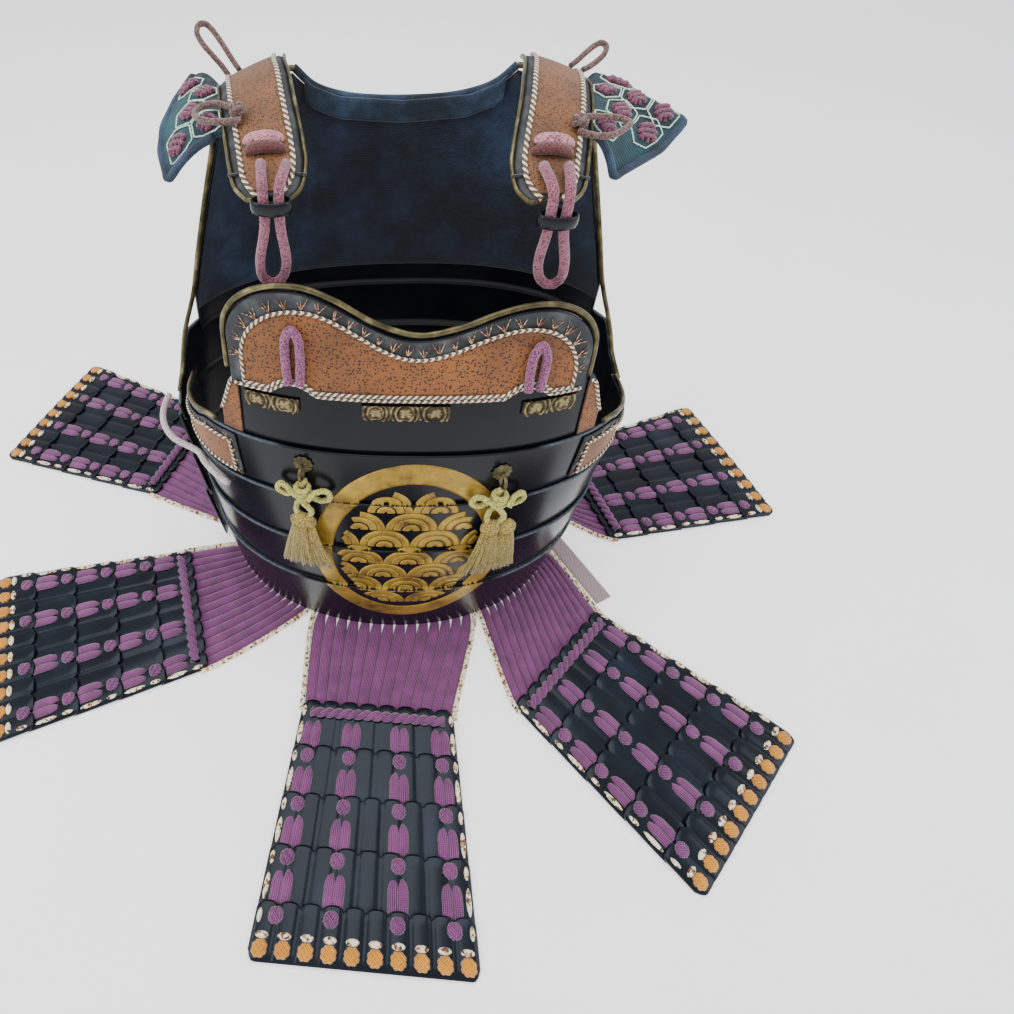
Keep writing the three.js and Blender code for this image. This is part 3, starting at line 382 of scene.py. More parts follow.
# The plan of the barrel at each height: half its width, and its depth to the front and the back.
BARREL = np.array([
    # height, half width, front, back
    (0, 189, 134, 118), (92, 194, 136, 123), (156, 196, 131, 127), (214, 197, 121, 129),
    (267, 195, 111, 129), (318, 191, 97, 128), (361, 188, 84, 126), (400, 186, 76, 123),
    (470, 182, 64, 117),
])
SEAMS = [3.8, 92, 156, 214, 267, 318]
STEP_OUT = 3.9
BACK_WIDER = 12
BACK_TURN = np.radians(3)
BACK_SHIFT = -2


def column(z, index):
    """A column of the barrel's table, read between its heights."""
    return np.interp(z, BARREL[:, 0], BARREL[:, index])


def bowed(value, power):
    """A power of the size of a value, with the value's sign."""
    return np.sign(value) * np.abs(value) ** power


def on_front(angle, z, out):
    """The front half's surface: a superellipse in plan whose power rises with height, at an
    angle in degrees from the front, moved out by an offset."""
    angle, z, out = np.broadcast_arrays(np.radians(angle), z, out)
    power = 2 / (2 + 0.6 * np.minimum(z, 460) / 400)
    x = (column(z, 1) + out) * bowed(np.sin(angle), power)
    y = -(column(z, 2) + out) * bowed(np.cos(angle), power)
    return np.stack([x, y, z], -1).astype(float)


def on_back(angle, z, out):
    """The back half's surface: the same curve, wider, facing back and turned a little open."""
    angle, z, out = np.broadcast_arrays(np.radians(angle), z, out)
    power = 2 / (2 + 0.6 * np.minimum(z, 460) / 400)
    x = (column(z, 1) + BACK_WIDER + out) * bowed(np.sin(angle), power)
    y = (column(z, 3) + out) * bowed(np.cos(angle), power)
    turned_x = x * np.cos(BACK_TURN) - y * np.sin(BACK_TURN) + BACK_SHIFT
    turned_y = x * np.sin(BACK_TURN) + y * np.cos(BACK_TURN)
    return np.stack([turned_x, turned_y, z], -1).astype(float)


def on_chest(x, z, out):
    """The front half's surface at an x instead of an angle."""
    x, z = np.broadcast_arrays(np.asarray(x, float), np.asarray(z, float))
    sine = bowed(x / column(z, 1), (2 + 0.6 * np.minimum(z, 460) / 400) / 2)
    return on_front(np.degrees(np.arcsin(np.clip(sine, -1, 1))), z, out)


TIE_RADIUS = 3
TIE_START = [(-226, 4, 218), (-229, -12, 215), (-227, -27, 212), (-217, -42, 208)]
TIE_ANGLES = np.array([-69, -64, -59, -54, -49])
tie_route = np.vstack([TIE_START, on_front(TIE_ANGLES, 200, STEP_OUT + TIE_RADIUS + 0.1)])
TIE_SILK = material("grey pink silk braid", braid_surface("dccfce", "c0b0b0", "85706f"))
free_cord("cord_side_tie", tie_route, TIE_RADIUS, TIE_SILK, 40)


# Barrel: iron lames and the back plate, coated with black urushi lacquer and polished. Each lame's
# upper edge stands proud of the next one's foot and carries a paler line, a painted highlight with
# some real scuffing, on the front only outside the gilt design.
ARMHOLE_FRONT = np.array([
    (39, 338), (43, 325), (47, 300), (51, 281), (55, 270), (62, 262), (74, 254), (92, 244)])
BACK_EDGE = np.array([
    (0, 434), (10, 438), (16, 447), (20, 460), (41, 447), (43, 438), (46, 415), (52, 378),
    (59, 336), (65, 300), (71, 268), (80, 242), (92, 228)])
PLATE = 2.6
TUCK = 8
# Width in mm of the pale line painted along each lame's upper edge as a highlight.
EDGE_HIGHLIGHT_BAND = 2.2
GILT_HALF = 27


def armhole(angle):
    """Height of the front half's edge under the arm."""
    return np.interp(np.abs(angle), ARMHOLE_FRONT[:, 0], ARMHOLE_FRONT[:, 1])


def back_edge(angle):
    """Height of the back half's edge, round the neck, over the shoulder and under the arm."""
    return np.interp(np.abs(angle), BACK_EDGE[:, 0], BACK_EDGE[:, 1])


def lacquer_surface(wear_and_highlight):
    """Urushi on iron: near black with a blue cast, a hard gloss softened by fine rubbing marks;
    with its flag set, the upper edge of each lame gets a paler, broken line, a painted highlight
    with some real scuffing."""
    def surface(tree):
        cloud, scuff = noise(tree, 14.0, 6.0), noise(tree, 300.0, 4.0)
        colour = ramp(tree, cloud, [(0.3, "08090d"), (0.7, "11131a")])
        if wear_and_highlight:
            # The pale grey-blue line along each lame's upper edge is a painted highlight, broken by
            # scuffs.
            edge = node(tree, "Attribute", attribute_name="wear_and_highlight").outputs["Fac"]
            share = calculate(tree, "MULTIPLY", edge, calculate(tree, "MULTIPLY", scuff, 1.25))
            colour = node(tree, "Mix", {7: linear("59636e")}, {0: share, 6: colour},
                          data_type="RGBA").outputs[2]
        return principled(tree, colour, (scuff, 0.08, 0.0006),
                          {"IOR": 1.46, "Specular IOR Level": 0.24},
                          {"Roughness": spread(tree, cloud, 0.16, 0.32)})
    return surface


LACQUER = material("black urushi lacquer, painted edge highlight", lacquer_surface(True))
PLAIN_LACQUER = material("black urushi lacquer", lacquer_surface(False))


def mark_wear_and_highlight(made, share):
    """Stores a value from 0 to 1 at each point of a piece for its finish: on the lacquer, the pale
    edge line painted as a highlight with some scuffing; on the bronze, how far it is rubbed.
    """
    values = np.zeros(len(made.data.vertices))
    values[:share.size] = share.ravel()
    made.data.attributes.new("wear_and_highlight", "FLOAT", "POINT").data.foreach_set("value", values)


def lame(name, surface, angles, low, tops, under, lean_from):
    """A lame's face: heights from its foot to its upper edge, leaning out by STEP_OUT towards
    the edge, which carries a pale line, a painted highlight with some scuffing, outside the gilt
    design."""
    share = np.concatenate([np.linspace(0, 0.9, 7), [0.95, 0.98, 1.0]])[:, None]
    z = low - under + (tops - low + under) * share
    lean = lean_from * (z - low + under) / (tops.max() - low + under)
    # The pale edge line, painted as a highlight, fades over its band below each upper edge.
    wear_and_highlight = np.clip(1 - (tops - z) / EDGE_HIGHLIGHT_BAND, 0, 1) ** 2
    if surface is on_front:
        wear_and_highlight = wear_and_highlight * np.clip((np.abs(angles) - GILT_HALF) / 4, 0, 1)
    made = piece(name, [(surface(angles, z, lean), False)], LACQUER,
                 replaces=[name.replace("shell_", "")], thick=PLATE)
    mark_wear_and_highlight(made, wear_and_highlight)
    return made


for index in range(5):
    low, high = SEAMS[index], SEAMS[index + 1]
    top = index == 4
    reach = 48 if top else 93
    angles = np.linspace(-reach, reach, 61 if top else 121)[None, :]
    opening = armhole(angles)
    tops = np.minimum(high + 5, opening - 6) if top else np.minimum(high, opening)
    lame("shell_front_lame_" + str(index + 1), on_front, angles, low, tops,
         0 if index == 0 else TUCK, 0 if top else STEP_OUT)

BACK_ANGLES = np.unique(np.concatenate([np.linspace(-92, 92, 121), BACK_EDGE[:, 0],
                                        -BACK_EDGE[:, 0]]))[None, :]
for index in range(4):
    low, high = SEAMS[index], SEAMS[index + 1]
    opening = back_edge(BACK_ANGLES)
    lame("shell_back_lame_" + str(index + 1), on_back, BACK_ANGLES[:, ::-1], low,
         np.minimum(high, opening)[:, ::-1], 0 if index == 0 else TUCK, STEP_OUT)

PLATE_ANGLES = BACK_ANGLES[:, np.abs(BACK_ANGLES[0]) <= 65.01][:, ::-1]
plate_tops = back_edge(PLATE_ANGLES)
shares = np.linspace(0, 1, 24)[:, None]
plate_foot = SEAMS[4] - TUCK
back_face = on_back(PLATE_ANGLES, plate_foot + (plate_tops - plate_foot) * shares, 0)
piece("shell_back_plate", [(back_face, False)], PLAIN_LACQUER,
      replaces=["back_plate"], thick=PLATE)


# Rims: thin brass gone olive with age, rolled over the edges of the armholes and of the breast
# plate, and round the back plate, where twill covers it at the neck.
def brass_surface(tree):
    """Brass gone olive brown in clouds of about a centimetre, half matt."""
    cloud = noise(tree, 90.0, 6.0)
    colour = ramp(tree, cloud, [(0.3, "2e2a1d"), (0.55, "5c5438"), (0.75, "8f855f")])
    return principled(tree, colour, (cloud, 0.15, 0.0004), {"Metallic": 0.75},
                      {"Roughness": spread(tree, cloud, 0.3, 0.5)})


BRASS = material("aged rolled brass", brass_surface)
RIM_RADIUS = 2.2
RIM_CLEAR = 3.7


def moved_out(outline, distance):
    """An outline's points moved square to it, to its left as it runs."""
    run = unit(np.gradient(outline, axis=0))
    return outline + distance * np.stack([-run[:, 1], run[:, 0]], 1)


def rim(name, points, count):
    """A rolled brass edge along a line."""
    path = smoothed(points, count)
    piece("rolled_" + name, [band(path, UP, RIM_RADIUS, RIM_RADIUS, sides=10)], BRASS,
          replaces=[name])


RIM_ANGLES = np.array([0, 9, 16, 20, 27, 34, 41, 43, 46, 52, 59, 65, 71, 75, 80, 89])
rim_angles = np.concatenate([-RIM_ANGLES[:0:-1], RIM_ANGLES])
ARC_PER_DEGREE = 3.1
rim_line = moved_out(np.stack([rim_angles * ARC_PER_DEGREE, back_edge(rim_angles)], 1), RIM_CLEAR)
rim_lean = np.where(rim_line[:, 1] < SEAMS[4] + RIM_CLEAR,
                    STEP_OUT * (rim_line[:, 1] - SEAMS[3]) / (SEAMS[4] - SEAMS[3]), 0)
rim("back_rim", on_back(rim_line[:, 0] / ARC_PER_DEGREE, rim_line[:, 1], rim_lean - PLATE / 2), 160)


def side_lean(z):
    """How far the fourth lame's face stands out at a height."""
    return STEP_OUT * (z - SEAMS[3] + TUCK) / (SEAMS[4] - SEAMS[3] + TUCK)


SIDE_RIM_ANGLES = np.array([52, 55, 59, 65, 74, 83, 91])
for name, side in SIDES:
    edge = np.minimum(armhole(SIDE_RIM_ANGLES), SEAMS[4])
    rim("side_rim_" + name,
        on_front(side * SIDE_RIM_ANGLES, edge + RIM_RADIUS + 0.5, side_lean(edge) - PLATE / 2), 40)

# Inside of the back half: indigo linen glued to the plate, a twill collar, both faded in places.
def cloth_surface(light, middle, dark):
    """Plain-woven cloth, its threads drawn coarser than the real half millimetre, with broad
    worn clouds of a lighter colour."""
    def surface(tree):
        uv = node(tree, "TexCoord").outputs["UV"]
        colour = ramp(tree, noise(tree, 16.0, 8.0, 0.65),
                      [(0.42, dark), (0.56, middle), (0.74, light)])
        threads = {"Scale": 160.0, "Distortion": 1.5}
        weave = calculate(tree, "ADD", waves(tree, uv, threads), waves(tree, uv, threads, "Y"))
        return principled(tree, colour, (weave, 0.4, 0.0008),
                          {"Roughness": 0.95, "Sheen Weight": 0.08})
    return surface


LINEN = material("indigo-dyed linen", cloth_surface("2c3f5c", "1a2436", "10141e"))
TWILL = material("blue hemp twill", cloth_surface("48607a", "2a3d52", "141e2b"))
LINING_OUT = -PLATE - 0.5
LINING_FOOT = 284
lining_z = LINING_FOOT + (plate_tops - 2 - LINING_FOOT) * shares
lining = piece("linen_lining", [(on_back(PLATE_ANGLES, lining_z, LINING_OUT), False)], LINEN,
               replaces=["back_lining"], thick=1.4)


COLLAR_ANGLES = np.linspace(18, -18, 41)[None, :]
collar_edge = back_edge(COLLAR_ANGLES)
collar_shares = np.linspace(0, 1, 7)[:, None]
collar = piece("twill_collar",
               [(on_back(COLLAR_ANGLES, collar_edge - 12 + 17 * collar_shares,
                         -PLATE - 0.5 - 2.4), False)],
               TWILL, replaces=["neck_binding"], thick=2.2)
bound = np.abs(rim_angles) <= 20
bound_line = on_back(rim_line[bound, 0] / ARC_PER_DEGREE, rim_line[bound, 1] + 0.4, -PLATE / 2)
piece("twill_neck_edge", [band(smoothed(bound_line, 60), UP, RIM_RADIUS + 0.9,
                               RIM_RADIUS + 0.9, sides=12)], TWILL)


# Breast plate: lacquered iron with two peaks, faced with printed leather. A grey-blue dyed strip
# edges the leather, and a two-coloured silk braid is laced along their seam with small tufts.
CHEST_LOW, CHEST_DIP = 314, 361
CHEST_LEFT = (138, 90, 393, 352)
CHEST_RIGHT = (128, 83, 382, 343)
SLOT_SHARE, SLOT_HALF, SLOT_RISE = 0.65, 17, 8
CHEST_OUT = 0.5 + PLATE
CHEST_ROWS = 14


def chest_side(x, index):
    """A measure of the breast plate for the side that x is on."""
    return np.where(np.asarray(x) < 0, CHEST_LEFT[index], CHEST_RIGHT[index])


def chest_top(x):
    """Upper edge: a cosine from the dip to the peak, then an elliptic shoulder to the corner."""
    away = np.abs(x)
    half, peak, top, corner = (chest_side(x, i) for i in range(4))
    inner = CHEST_DIP + (top - CHEST_DIP) * (0.5 - 0.5 * np.cos(np.pi * away / peak))
    turned = np.clip((away - peak) / (half - peak), 0, 1)
    outer = top - (top - corner) * (1 - np.sqrt(1 - turned ** 2))
    return np.where(away < peak, inner, outer)


def chest_foot(x):
    """Lower edge: straight, with a low arch over each opening for the cords."""
    away = np.abs(np.abs(x) - SLOT_SHARE * chest_side(x, 0)) / SLOT_HALF
    return CHEST_LOW + np.where(away < 1, SLOT_RISE * (1 - np.minimum(away, 1) ** 2), 0)


eased = np.sin(np.linspace(-np.pi / 2, np.pi / 2, 141))
CHEST_XS = np.where(eased < 0, eased * CHEST_LEFT[0], eased * CHEST_RIGHT[0])


def chest_field(inset, foot_inset, out):
    """The plate's face, drawn in from its edge: the foot keeps a narrower strip."""
    x = CHEST_XS * (1 - inset / chest_side(CHEST_XS, 0))
    foot, top = chest_foot(x) + foot_inset, chest_top(CHEST_XS) - inset
    z = foot + (top - foot) * np.linspace(0, 1, CHEST_ROWS)[:, None]
    return on_chest(x[None, :], z, out)


piece("shell_breast_plate", [(chest_field(0, 0, CHEST_OUT), False)], PLAIN_LACQUER,
      replaces=["breast_plate"], thick=PLATE)


def printed_leather_surface(light, middle, spot, spots_per_metre):
    """Smoked deerskin printed with small dark florets over clouds of its own colour."""
    def surface(tree):
        place = node(tree, "TexCoord").outputs["Object"]
        ground = ramp(tree, noise(tree, 26.0, 6.0), [(0.35, middle), (0.62, light)])
        bent = node(tree, "TexNoise", {"Scale": 500.0}, {"Vector": place})
        shifted = node(tree, "VectorMath", {1: (0.0014, 0.0014, 0.0014)},
                       {0: bent.outputs["Color"]}, operation="MULTIPLY")
        moved = node(tree, "VectorMath", links={0: place, 1: shifted.outputs[0]}, operation="ADD")
        florets = node(tree, "TexVoronoi", {"Scale": spots_per_metre, "Randomness": 0.8},
                       {"Vector": moved.outputs[0]})
        printed = ramp(tree, florets.outputs["Distance"], [(0.3, "ffffff"), (0.4, "000000")])
        colour = node(tree, "Mix", {7: linear(spot)}, {0: printed, 6: ground}, data_type="RGBA")
        return principled(tree, colour.outputs[2], (noise(tree, 900.0, 3.0), 0.2, 0.0005),
                          {"Roughness": 0.72, "Sheen Weight": 0.1})
    return surface


PRINTED_LEATHER = material("printed smoked deerskin",
                           printed_leather_surface("88501f", "683c16", "1c0c05", 450.0))


def dyed_leather_surface(tree):
    """Dyed edging leather: dull grey blue with rubbed, paler patches and a fine grain."""
    colour = ramp(tree, noise(tree, 70.0, 7.0),
                  [(0.3, "14161a"), (0.5, "24282c"), (0.74, "4c5152")])
    return principled(tree, colour, (noise(tree, 700.0, 3.0), 0.25, 0.0005), {"Roughness": 0.7})


DYED_LEATHER = material("grey-blue dyed leather", dyed_leather_surface)
EDGING_THICK = 1.0
FIELD_INSET, FIELD_FOOT = 13, 7.5
LEATHER_OUT, SEAM_OUT, FOOT_OUT, TUFT_OUT = (CHEST_OUT + out for out in (2.4, 2.9, 1.9, 1.6))
piece("edging_breast", [(chest_field(0.6, 1.0, CHEST_OUT + EDGING_THICK), False)], DYED_LEATHER,
      thick=EDGING_THICK * 0.8)
piece("leather_breast", [(chest_field(FIELD_INSET, FIELD_FOOT, LEATHER_OUT), False)],
      PRINTED_LEATHER, replaces=["breast_leather"], thick=1.4)

RIM_SHARES = np.array([0, 0.22, 0.44, 0.58, 0.69, 0.78, 0.86, 0.93, 0.985])
rim_x = np.concatenate([-RIM_SHARES[:0:-1] * CHEST_LEFT[0], RIM_SHARES * CHEST_RIGHT[0]])
rim_outline = np.stack([rim_x, chest_top(rim_x)], 1)
for share in (0.4, 0.75):
    low_left = CHEST_LEFT[3] + (CHEST_LOW + 3 - CHEST_LEFT[3]) * share
    low_right = CHEST_RIGHT[3] + (CHEST_LOW + 3 - CHEST_RIGHT[3]) * share
    rim_outline = np.vstack([[-CHEST_LEFT[0], low_left], rim_outline, [CHEST_RIGHT[0], low_right]])
rim_outline = moved_out(rim_outline, RIM_CLEAR)
rim("breast_rim", on_chest(rim_outline[:, 0], rim_outline[:, 1], 0.5 + PLATE / 2), 150)


def braid_stripe_surface(first, second):
    """A flat silk braid in two colours that cross each other in V stitches of about 5 mm."""
    def surface(tree):
        split = node(tree, "SeparateXYZ", links={0: node(tree, "TexCoord").outputs["UV"]})
        slanted = calculate(tree, "ADD", split.outputs[0],
                            calculate(tree, "ABSOLUTE", split.outputs[1]))
        wave = calculate(tree, "SINE", calculate(tree, "MULTIPLY", slanted, 1250.0))
        colour = ramp(tree, wave, [(0.0, second), (0.12, second), (0.25, first)])
        return principled(tree, colour, (wave, 0.6, 0.001),
                          {"Roughness": 0.75, "Sheen Weight": 0.2})
    return surface


CREAM_BRAID = material("cream and brown silk braid", braid_stripe_surface("e9dfc4", "59402c"))
BRAID_HALF, BRAID_HIGH = 1.5, 1.1
FORWARD = (0, -0.9, 0.4)


def even(points, step):
    """Points along a line at an even step in mm."""
    reach = reach_along(points)
    places = np.linspace(0, reach[-1], max(int(reach[-1] / step), 4))
    return np.stack([np.interp(places, reach, points[:, i]) for i in range(points.shape[1])], 1)


def surface_braid(outline, place, out, half=BRAID_HALF):
    """A braid on a surface: its line is a flat outline that place() puts on the surface, and
    up is the surface's own normal, from two more points beside the line."""
    line = even(outline, 1.8)
    path = place(line[:, 0], line[:, 1], out)
    up = place(line[:, 0], line[:, 1], out + 1.0) - path
    return band(path, up, half, BRAID_HIGH, sides=8)


def field_outline(inset, foot_inset):
    """The closed outline of the leather field, along its top and back along its foot."""
    x = CHEST_XS * (1 - inset / chest_side(CHEST_XS, 0))
    top = np.stack([x, chest_top(CHEST_XS) - inset], 1)
    foot = np.stack([x, chest_foot(x) + foot_inset], 1)
    return np.vstack([top, foot[::-1], top[:2]])


braid_line = field_outline(FIELD_INSET - 0.8, 6.4)
foot_line = np.stack([CHEST_XS * 0.97, chest_foot(CHEST_XS * 0.97) + 2.6], 1)
piece("braid_breast", [surface_braid(braid_line, on_chest, SEAM_OUT),
                       surface_braid(foot_line, on_chest, FOOT_OUT)],
      CREAM_BRAID)


def tuft_surface(tree):
    """Cut silk thread in a mix of rust, tan and cream."""
    colour = ramp(tree, noise(tree, 500.0),
                  [(0.38, "5f3528"), (0.5, "9c6a50"), (0.62, "d6bd98")])
    return node(tree, "BsdfPrincipled", {"Roughness": 0.85}, {"Base Color": colour})


TUFT = material("silk thread ends", tuft_surface)
random = np.random.default_rng(7)


def tufts(outline, place, out, step, reach):
    """Thread ends beside a seam: from spots a few steps apart three fine threads fan out."""
    line = even(outline, step)
    run = unit(np.gradient(line, axis=0))
    normal = np.stack([-run[:, 1], run[:, 0]], 1)
    made = []
    for spot, along, off in zip(line, run, normal):
        for lean in (-0.55, 0.0, 0.55):
            far = reach * random.uniform(0.7, 1.15)
            share = np.linspace(0, 1, 4)[:, None]
            bend = lean * share + 0.15 * random.normal() * share ** 2
            points = spot + off * far * share + along * far * bend
            path = place(points[:, 0], points[:, 1], out)
            made.append(band(path, FORWARD, 0.6 * (1.1 - share[:, 0]), 0.42, sides=5))
    return made


top_line = field_outline(FIELD_INSET - 2.2, 6.4)[:len(CHEST_XS)]
piece("tufts_breast", tufts(top_line, on_chest, TUFT_OUT, 11, 8), TUFT)

# Side leathers: the same printed skin under each arm, a triangle edged with the dyed strip and
# the braid, glued on the lames.
FACING_FRONT, FACING_BACK, FACING_ARC = 42.5, 89, 3.2
FACING_FOOT, FACING_TOP = 218, SEAMS[4] - 2
BRAID_INSET = 7.2
UPPER_FRONT, UPPER_BACK = 40.5, 47.8
UPPER_FOOT, UPPER_INSET = FACING_TOP + 3, 7
UPPER_FACES = [
    # name, finish, inset at the top, distance out of the lame
    ("edging", DYED_LEATHER, 0, 1.3),
    ("leather", PRINTED_LEATHER, 4.5, 1.9),
]


def facing_top(angle, drop):
    """The side leather's upper edge: it follows the armhole up to the lame's edge."""
    return np.minimum(armhole(angle) - 3, FACING_TOP) - drop


def facing(side, edge, foot_edge, out):
    """A side leather's face between its foot and the armhole, drawn in by an edge."""
    angle = np.linspace(FACING_FRONT + edge / FACING_ARC, FACING_BACK - edge / FACING_ARC, 44)
    foot = np.full(len(angle), FACING_FOOT + foot_edge)
    top = np.maximum(facing_top(angle, edge), foot + 0.5)
    z = foot + (top - foot) * np.linspace(0, 1, 10)[:, None]
    points = on_front(side * angle[None, :], z, side_lean(z) + out)
    return points if side > 0 else points[:, ::-1]


for name, side in SIDES:
    def side_place(angle, z, out, side=side):
        return on_front(side * angle, z, side_lean(z) + out)
    piece("edging_side_" + name, [(facing(side, 0, 0, 1.9), False)], DYED_LEATHER,
          replaces=["side_leather_" + name], thick=1.1)
    piece("leather_side_" + name, [(facing(side, 8, 5, 2.7), False)], PRINTED_LEATHER,
          thick=0.8)
    low, high = FACING_FRONT + BRAID_INSET / FACING_ARC, FACING_BACK - BRAID_INSET / FACING_ARC
    angle = np.linspace(low, high, 60)
    outline = np.vstack([np.stack([angle, facing_top(angle, BRAID_INSET)], 1),
                         [[high, FACING_FOOT + 4.2], [low, FACING_FOOT + 4.2],
                          [low, facing_top(low, BRAID_INSET)]]])
    line = outline * [FACING_ARC, 1]

    def scaled_place(u, z, out, put=side_place):
        return put(u / FACING_ARC, z, out)
    piece("braid_side_" + name, [surface_braid(line, scaled_place, 3.3, half=1.4)], CREAM_BRAID)
    edge_at = low * FACING_ARC - 1
    front_edge = np.array([[edge_at, facing_top(low, 7)], [edge_at, FACING_FOOT + 4]])
    upper_edge = np.stack([angle[2:30] * FACING_ARC, facing_top(angle[2:30], 5.5)], 1)
    piece("tufts_side_" + name, tufts(front_edge[::-1], scaled_place, 2.4, 9, 4.5)
          + tufts(upper_edge, scaled_place, 2.4, 11, 4), TUFT)

    upper_angles = np.linspace(UPPER_FRONT, UPPER_BACK, 16)
    upper_tops = np.minimum(armhole(upper_angles) - UPPER_INSET, SEAMS[5] + 4)
    for label, finish, edge, out in UPPER_FACES:
        z = UPPER_FOOT + (upper_tops - edge - UPPER_FOOT) * np.linspace(0, 1, 10)[:, None]
        face = on_front(side * upper_angles, z, out)
        piece(label + "_upper_" + name, [(face if side > 0 else face[:, ::-1], False)], finish,
              thick=0.8)
    braid_line = on_front(side * upper_angles, upper_tops - 4, 2.6)
    piece("braid_upper_" + name, [band(braid_line, FORWARD, BRAID_HALF, BRAID_HIGH, sides=8)],
          CREAM_BRAID)


# Doubled cords on the leather: they come up out of the hollow in the plate's foot and hold the
# straps' loops.
def chest_cord(x, low, high):
    """The route of a doubled cord: up, over in an arch and down again beside itself."""
    out = CHEST_OUT + 1 + 1.4 + 0.5 + CORD_RADIUS
    leg_at = CORD_RADIUS + 0.8
    route = [(x - leg_at, low), (x - leg_at - 1, (low + high) / 2), (x - leg_at, high - 8),
             (x, high - 1.5), (x + leg_at, high - 8), (x + leg_at + 1, (low + high) / 2),
             (x + leg_at, low)]
    return on_chest([p[0] for p in route], [p[1] for p in route], out)


MAUVE_SILK = material("mauve silk braid", braid_surface("9c5a80", "783c62", "36142c"))
CHEST_CORDS = [
    # name, x, height of the foot and of the arch
    ("left", -86, 328, 371),
    ("right", 84, 325, 361),
]
CHEST_CORD_UP = (0.31, -0.9, 0.22)
for name, x, low, high in CHEST_CORDS:
    path = smoothed(chest_cord(x, low, high), 60)
    piece("silk_chest_cord_" + name,
          [band(path, CHEST_CORD_UP, 3.5, 3.5, sides=14, strands=3, pitch=9, relief=0.02)],
          MAUVE_SILK, replaces=["chest_cord_" + name])


# Fittings under the breast plate: cast bronze strips chased with scrolls round rosettes, their
# raised parts rubbed bright and their ground dark.
def bronze_surface(tree):
    """Antique bronze: dark in its ground and paler where the stored height is rubbed."""
    fine = noise(tree, 260.0, 5.0)
    height = node(tree, "Attribute", attribute_name="wear_and_highlight").outputs["Fac"]
    colour = ramp(tree, calculate(tree, "ADD", fine, height),
                  [(0.45, "15110b"), (0.8, "4e432c"), (1.0, "94845c")])
    return principled(tree, colour, (fine, 0.5, 0.0006), {"Metallic": 0.7, "Roughness": 0.42})


BRONZE = material("chased antique bronze", bronze_surface)
FITTING_AT = 304
FITTINGS = [
    # name, x, half its length, rosettes
    ("left", -109, 22, 2),
    ("centre", -6, 34, 3),
    ("right", 105, 22, 2),
]
for name, x, half, rosettes in FITTINGS:
    u = np.linspace(-1, 1, 30 * rosettes + 1)[None, :]
    v = np.linspace(0, 1, 26)[:, None]
    lobes = np.abs(np.sin(np.pi * (rosettes * 2) * (u + 1) / 2))
    low, high = FITTING_AT - 5 - 1.6 * lobes, FITTING_AT + 6
    height = low + (high - low) * v
    along = x + half * u
    cell = ((u + 1) / 2 * rosettes) % 1 - 0.5
    radius = np.hypot(cell * 2 * half / rosettes / 5.2, (v - 0.52) * 12.0 / 5.2)
    petals = np.cos(6 * np.arctan2(v - 0.52, cell + 1e-6))
    rosette = np.clip(1 - radius, 0, 1) ** 0.5 * (0.75 + 0.25 * petals)
    scroll = 0.5 + 0.5 * np.cos(3 * np.pi * radius + 2 * u * rosettes)
    raised = np.maximum(rosette, 0.45 * scroll * (radius > 1))
    raised = raised * np.clip(np.minimum(1 - np.abs(u), 0.06) / 0.06, 0, 1)
    made = piece("chased_fitting_" + name, [(on_chest(along, height, 1.7 + 2.4 * raised), False)],
                 BRONZE, replaces=["fitting_" + name], thick=1.0)
    mark_wear_and_highlight(made, raised + 0 * height)


# Gilt design on the front lames: gold leaf over low raised lacquer, a broad oval ring round rows
# of wave scales. The lames' seams break the leaf into strips.
def outwards(points, towards):
    """A grid turned so that its faces look towards a direction."""
    rows, columns = points.shape[0] // 2, points.shape[1] // 2
    down_rows = points[rows, columns - 1] - points[rows - 1, columns - 1]
    over_columns = points[rows, columns] - points[rows, columns - 1]
    turned = np.dot(np.cross(over_columns, down_rows), towards) < 0
    return points[:, ::-1] if turned else points


def on_lames(x, z, out):
    """The front lames' stepped face: each leans out by STEP_OUT from its foot to its edge."""
    seams = np.array(SEAMS)
    index = np.clip(np.searchsorted(seams, z, "right") - 1, 0, 3)
    low, high = seams[index], seams[index + 1]
    under = np.where(index == 0, 0, TUCK)
    lean = STEP_OUT * (z - low + under) / (high - low + under)
    return on_chest(x, z, lean + out)


LEAF_OUT = 0.55
CREST_X, CREST_Z, CREST_HALF, CREST_TALL = 5.5, 146, 88, 113
RING_INNER = 0.8
WAVE_RADIUS, WAVE_ARCS, WAVE_HALF = 23, (0.86, 0.55, 0.2), 0.145
WAVES_WITHIN = RING_INNER - 0.075


def leaf_strip(line, half):
    """A strip of leaf along a flat line of x and z, half wide to each side."""
    run = unit(np.gradient(line, axis=0))
    normal = np.stack([-run[:, 1], run[:, 0]], 1)
    across = np.linspace(-1, 1, 5)
    flat = line[:, None] + normal[:, None] * (half * across)[None, :, None]
    lift = LEAF_OUT * np.array([0.35, 0.95, 1, 0.95, 0.35])[None, :]
    return outwards(on_lames(flat[..., 0], flat[..., 1], lift), (0, -1, 0)), False


def gilt_surface(tree):
    """Gold leaf over lacquer: warm and half bright, rubbed through in specks and fine lines."""
    cloud = noise(tree, 40.0, 8.0, 0.7)
    colour = ramp(tree, cloud, [(0.3, "2b1f0f"), (0.42, "876a22"), (0.6, "aa8a32"),
                                (0.8, "c8a850")])
    return principled(tree, colour, (cloud, 0.1, 0.0005), {"Metallic": 0.45},
                      {"Roughness": spread(tree, cloud, 0.3, 0.5)})


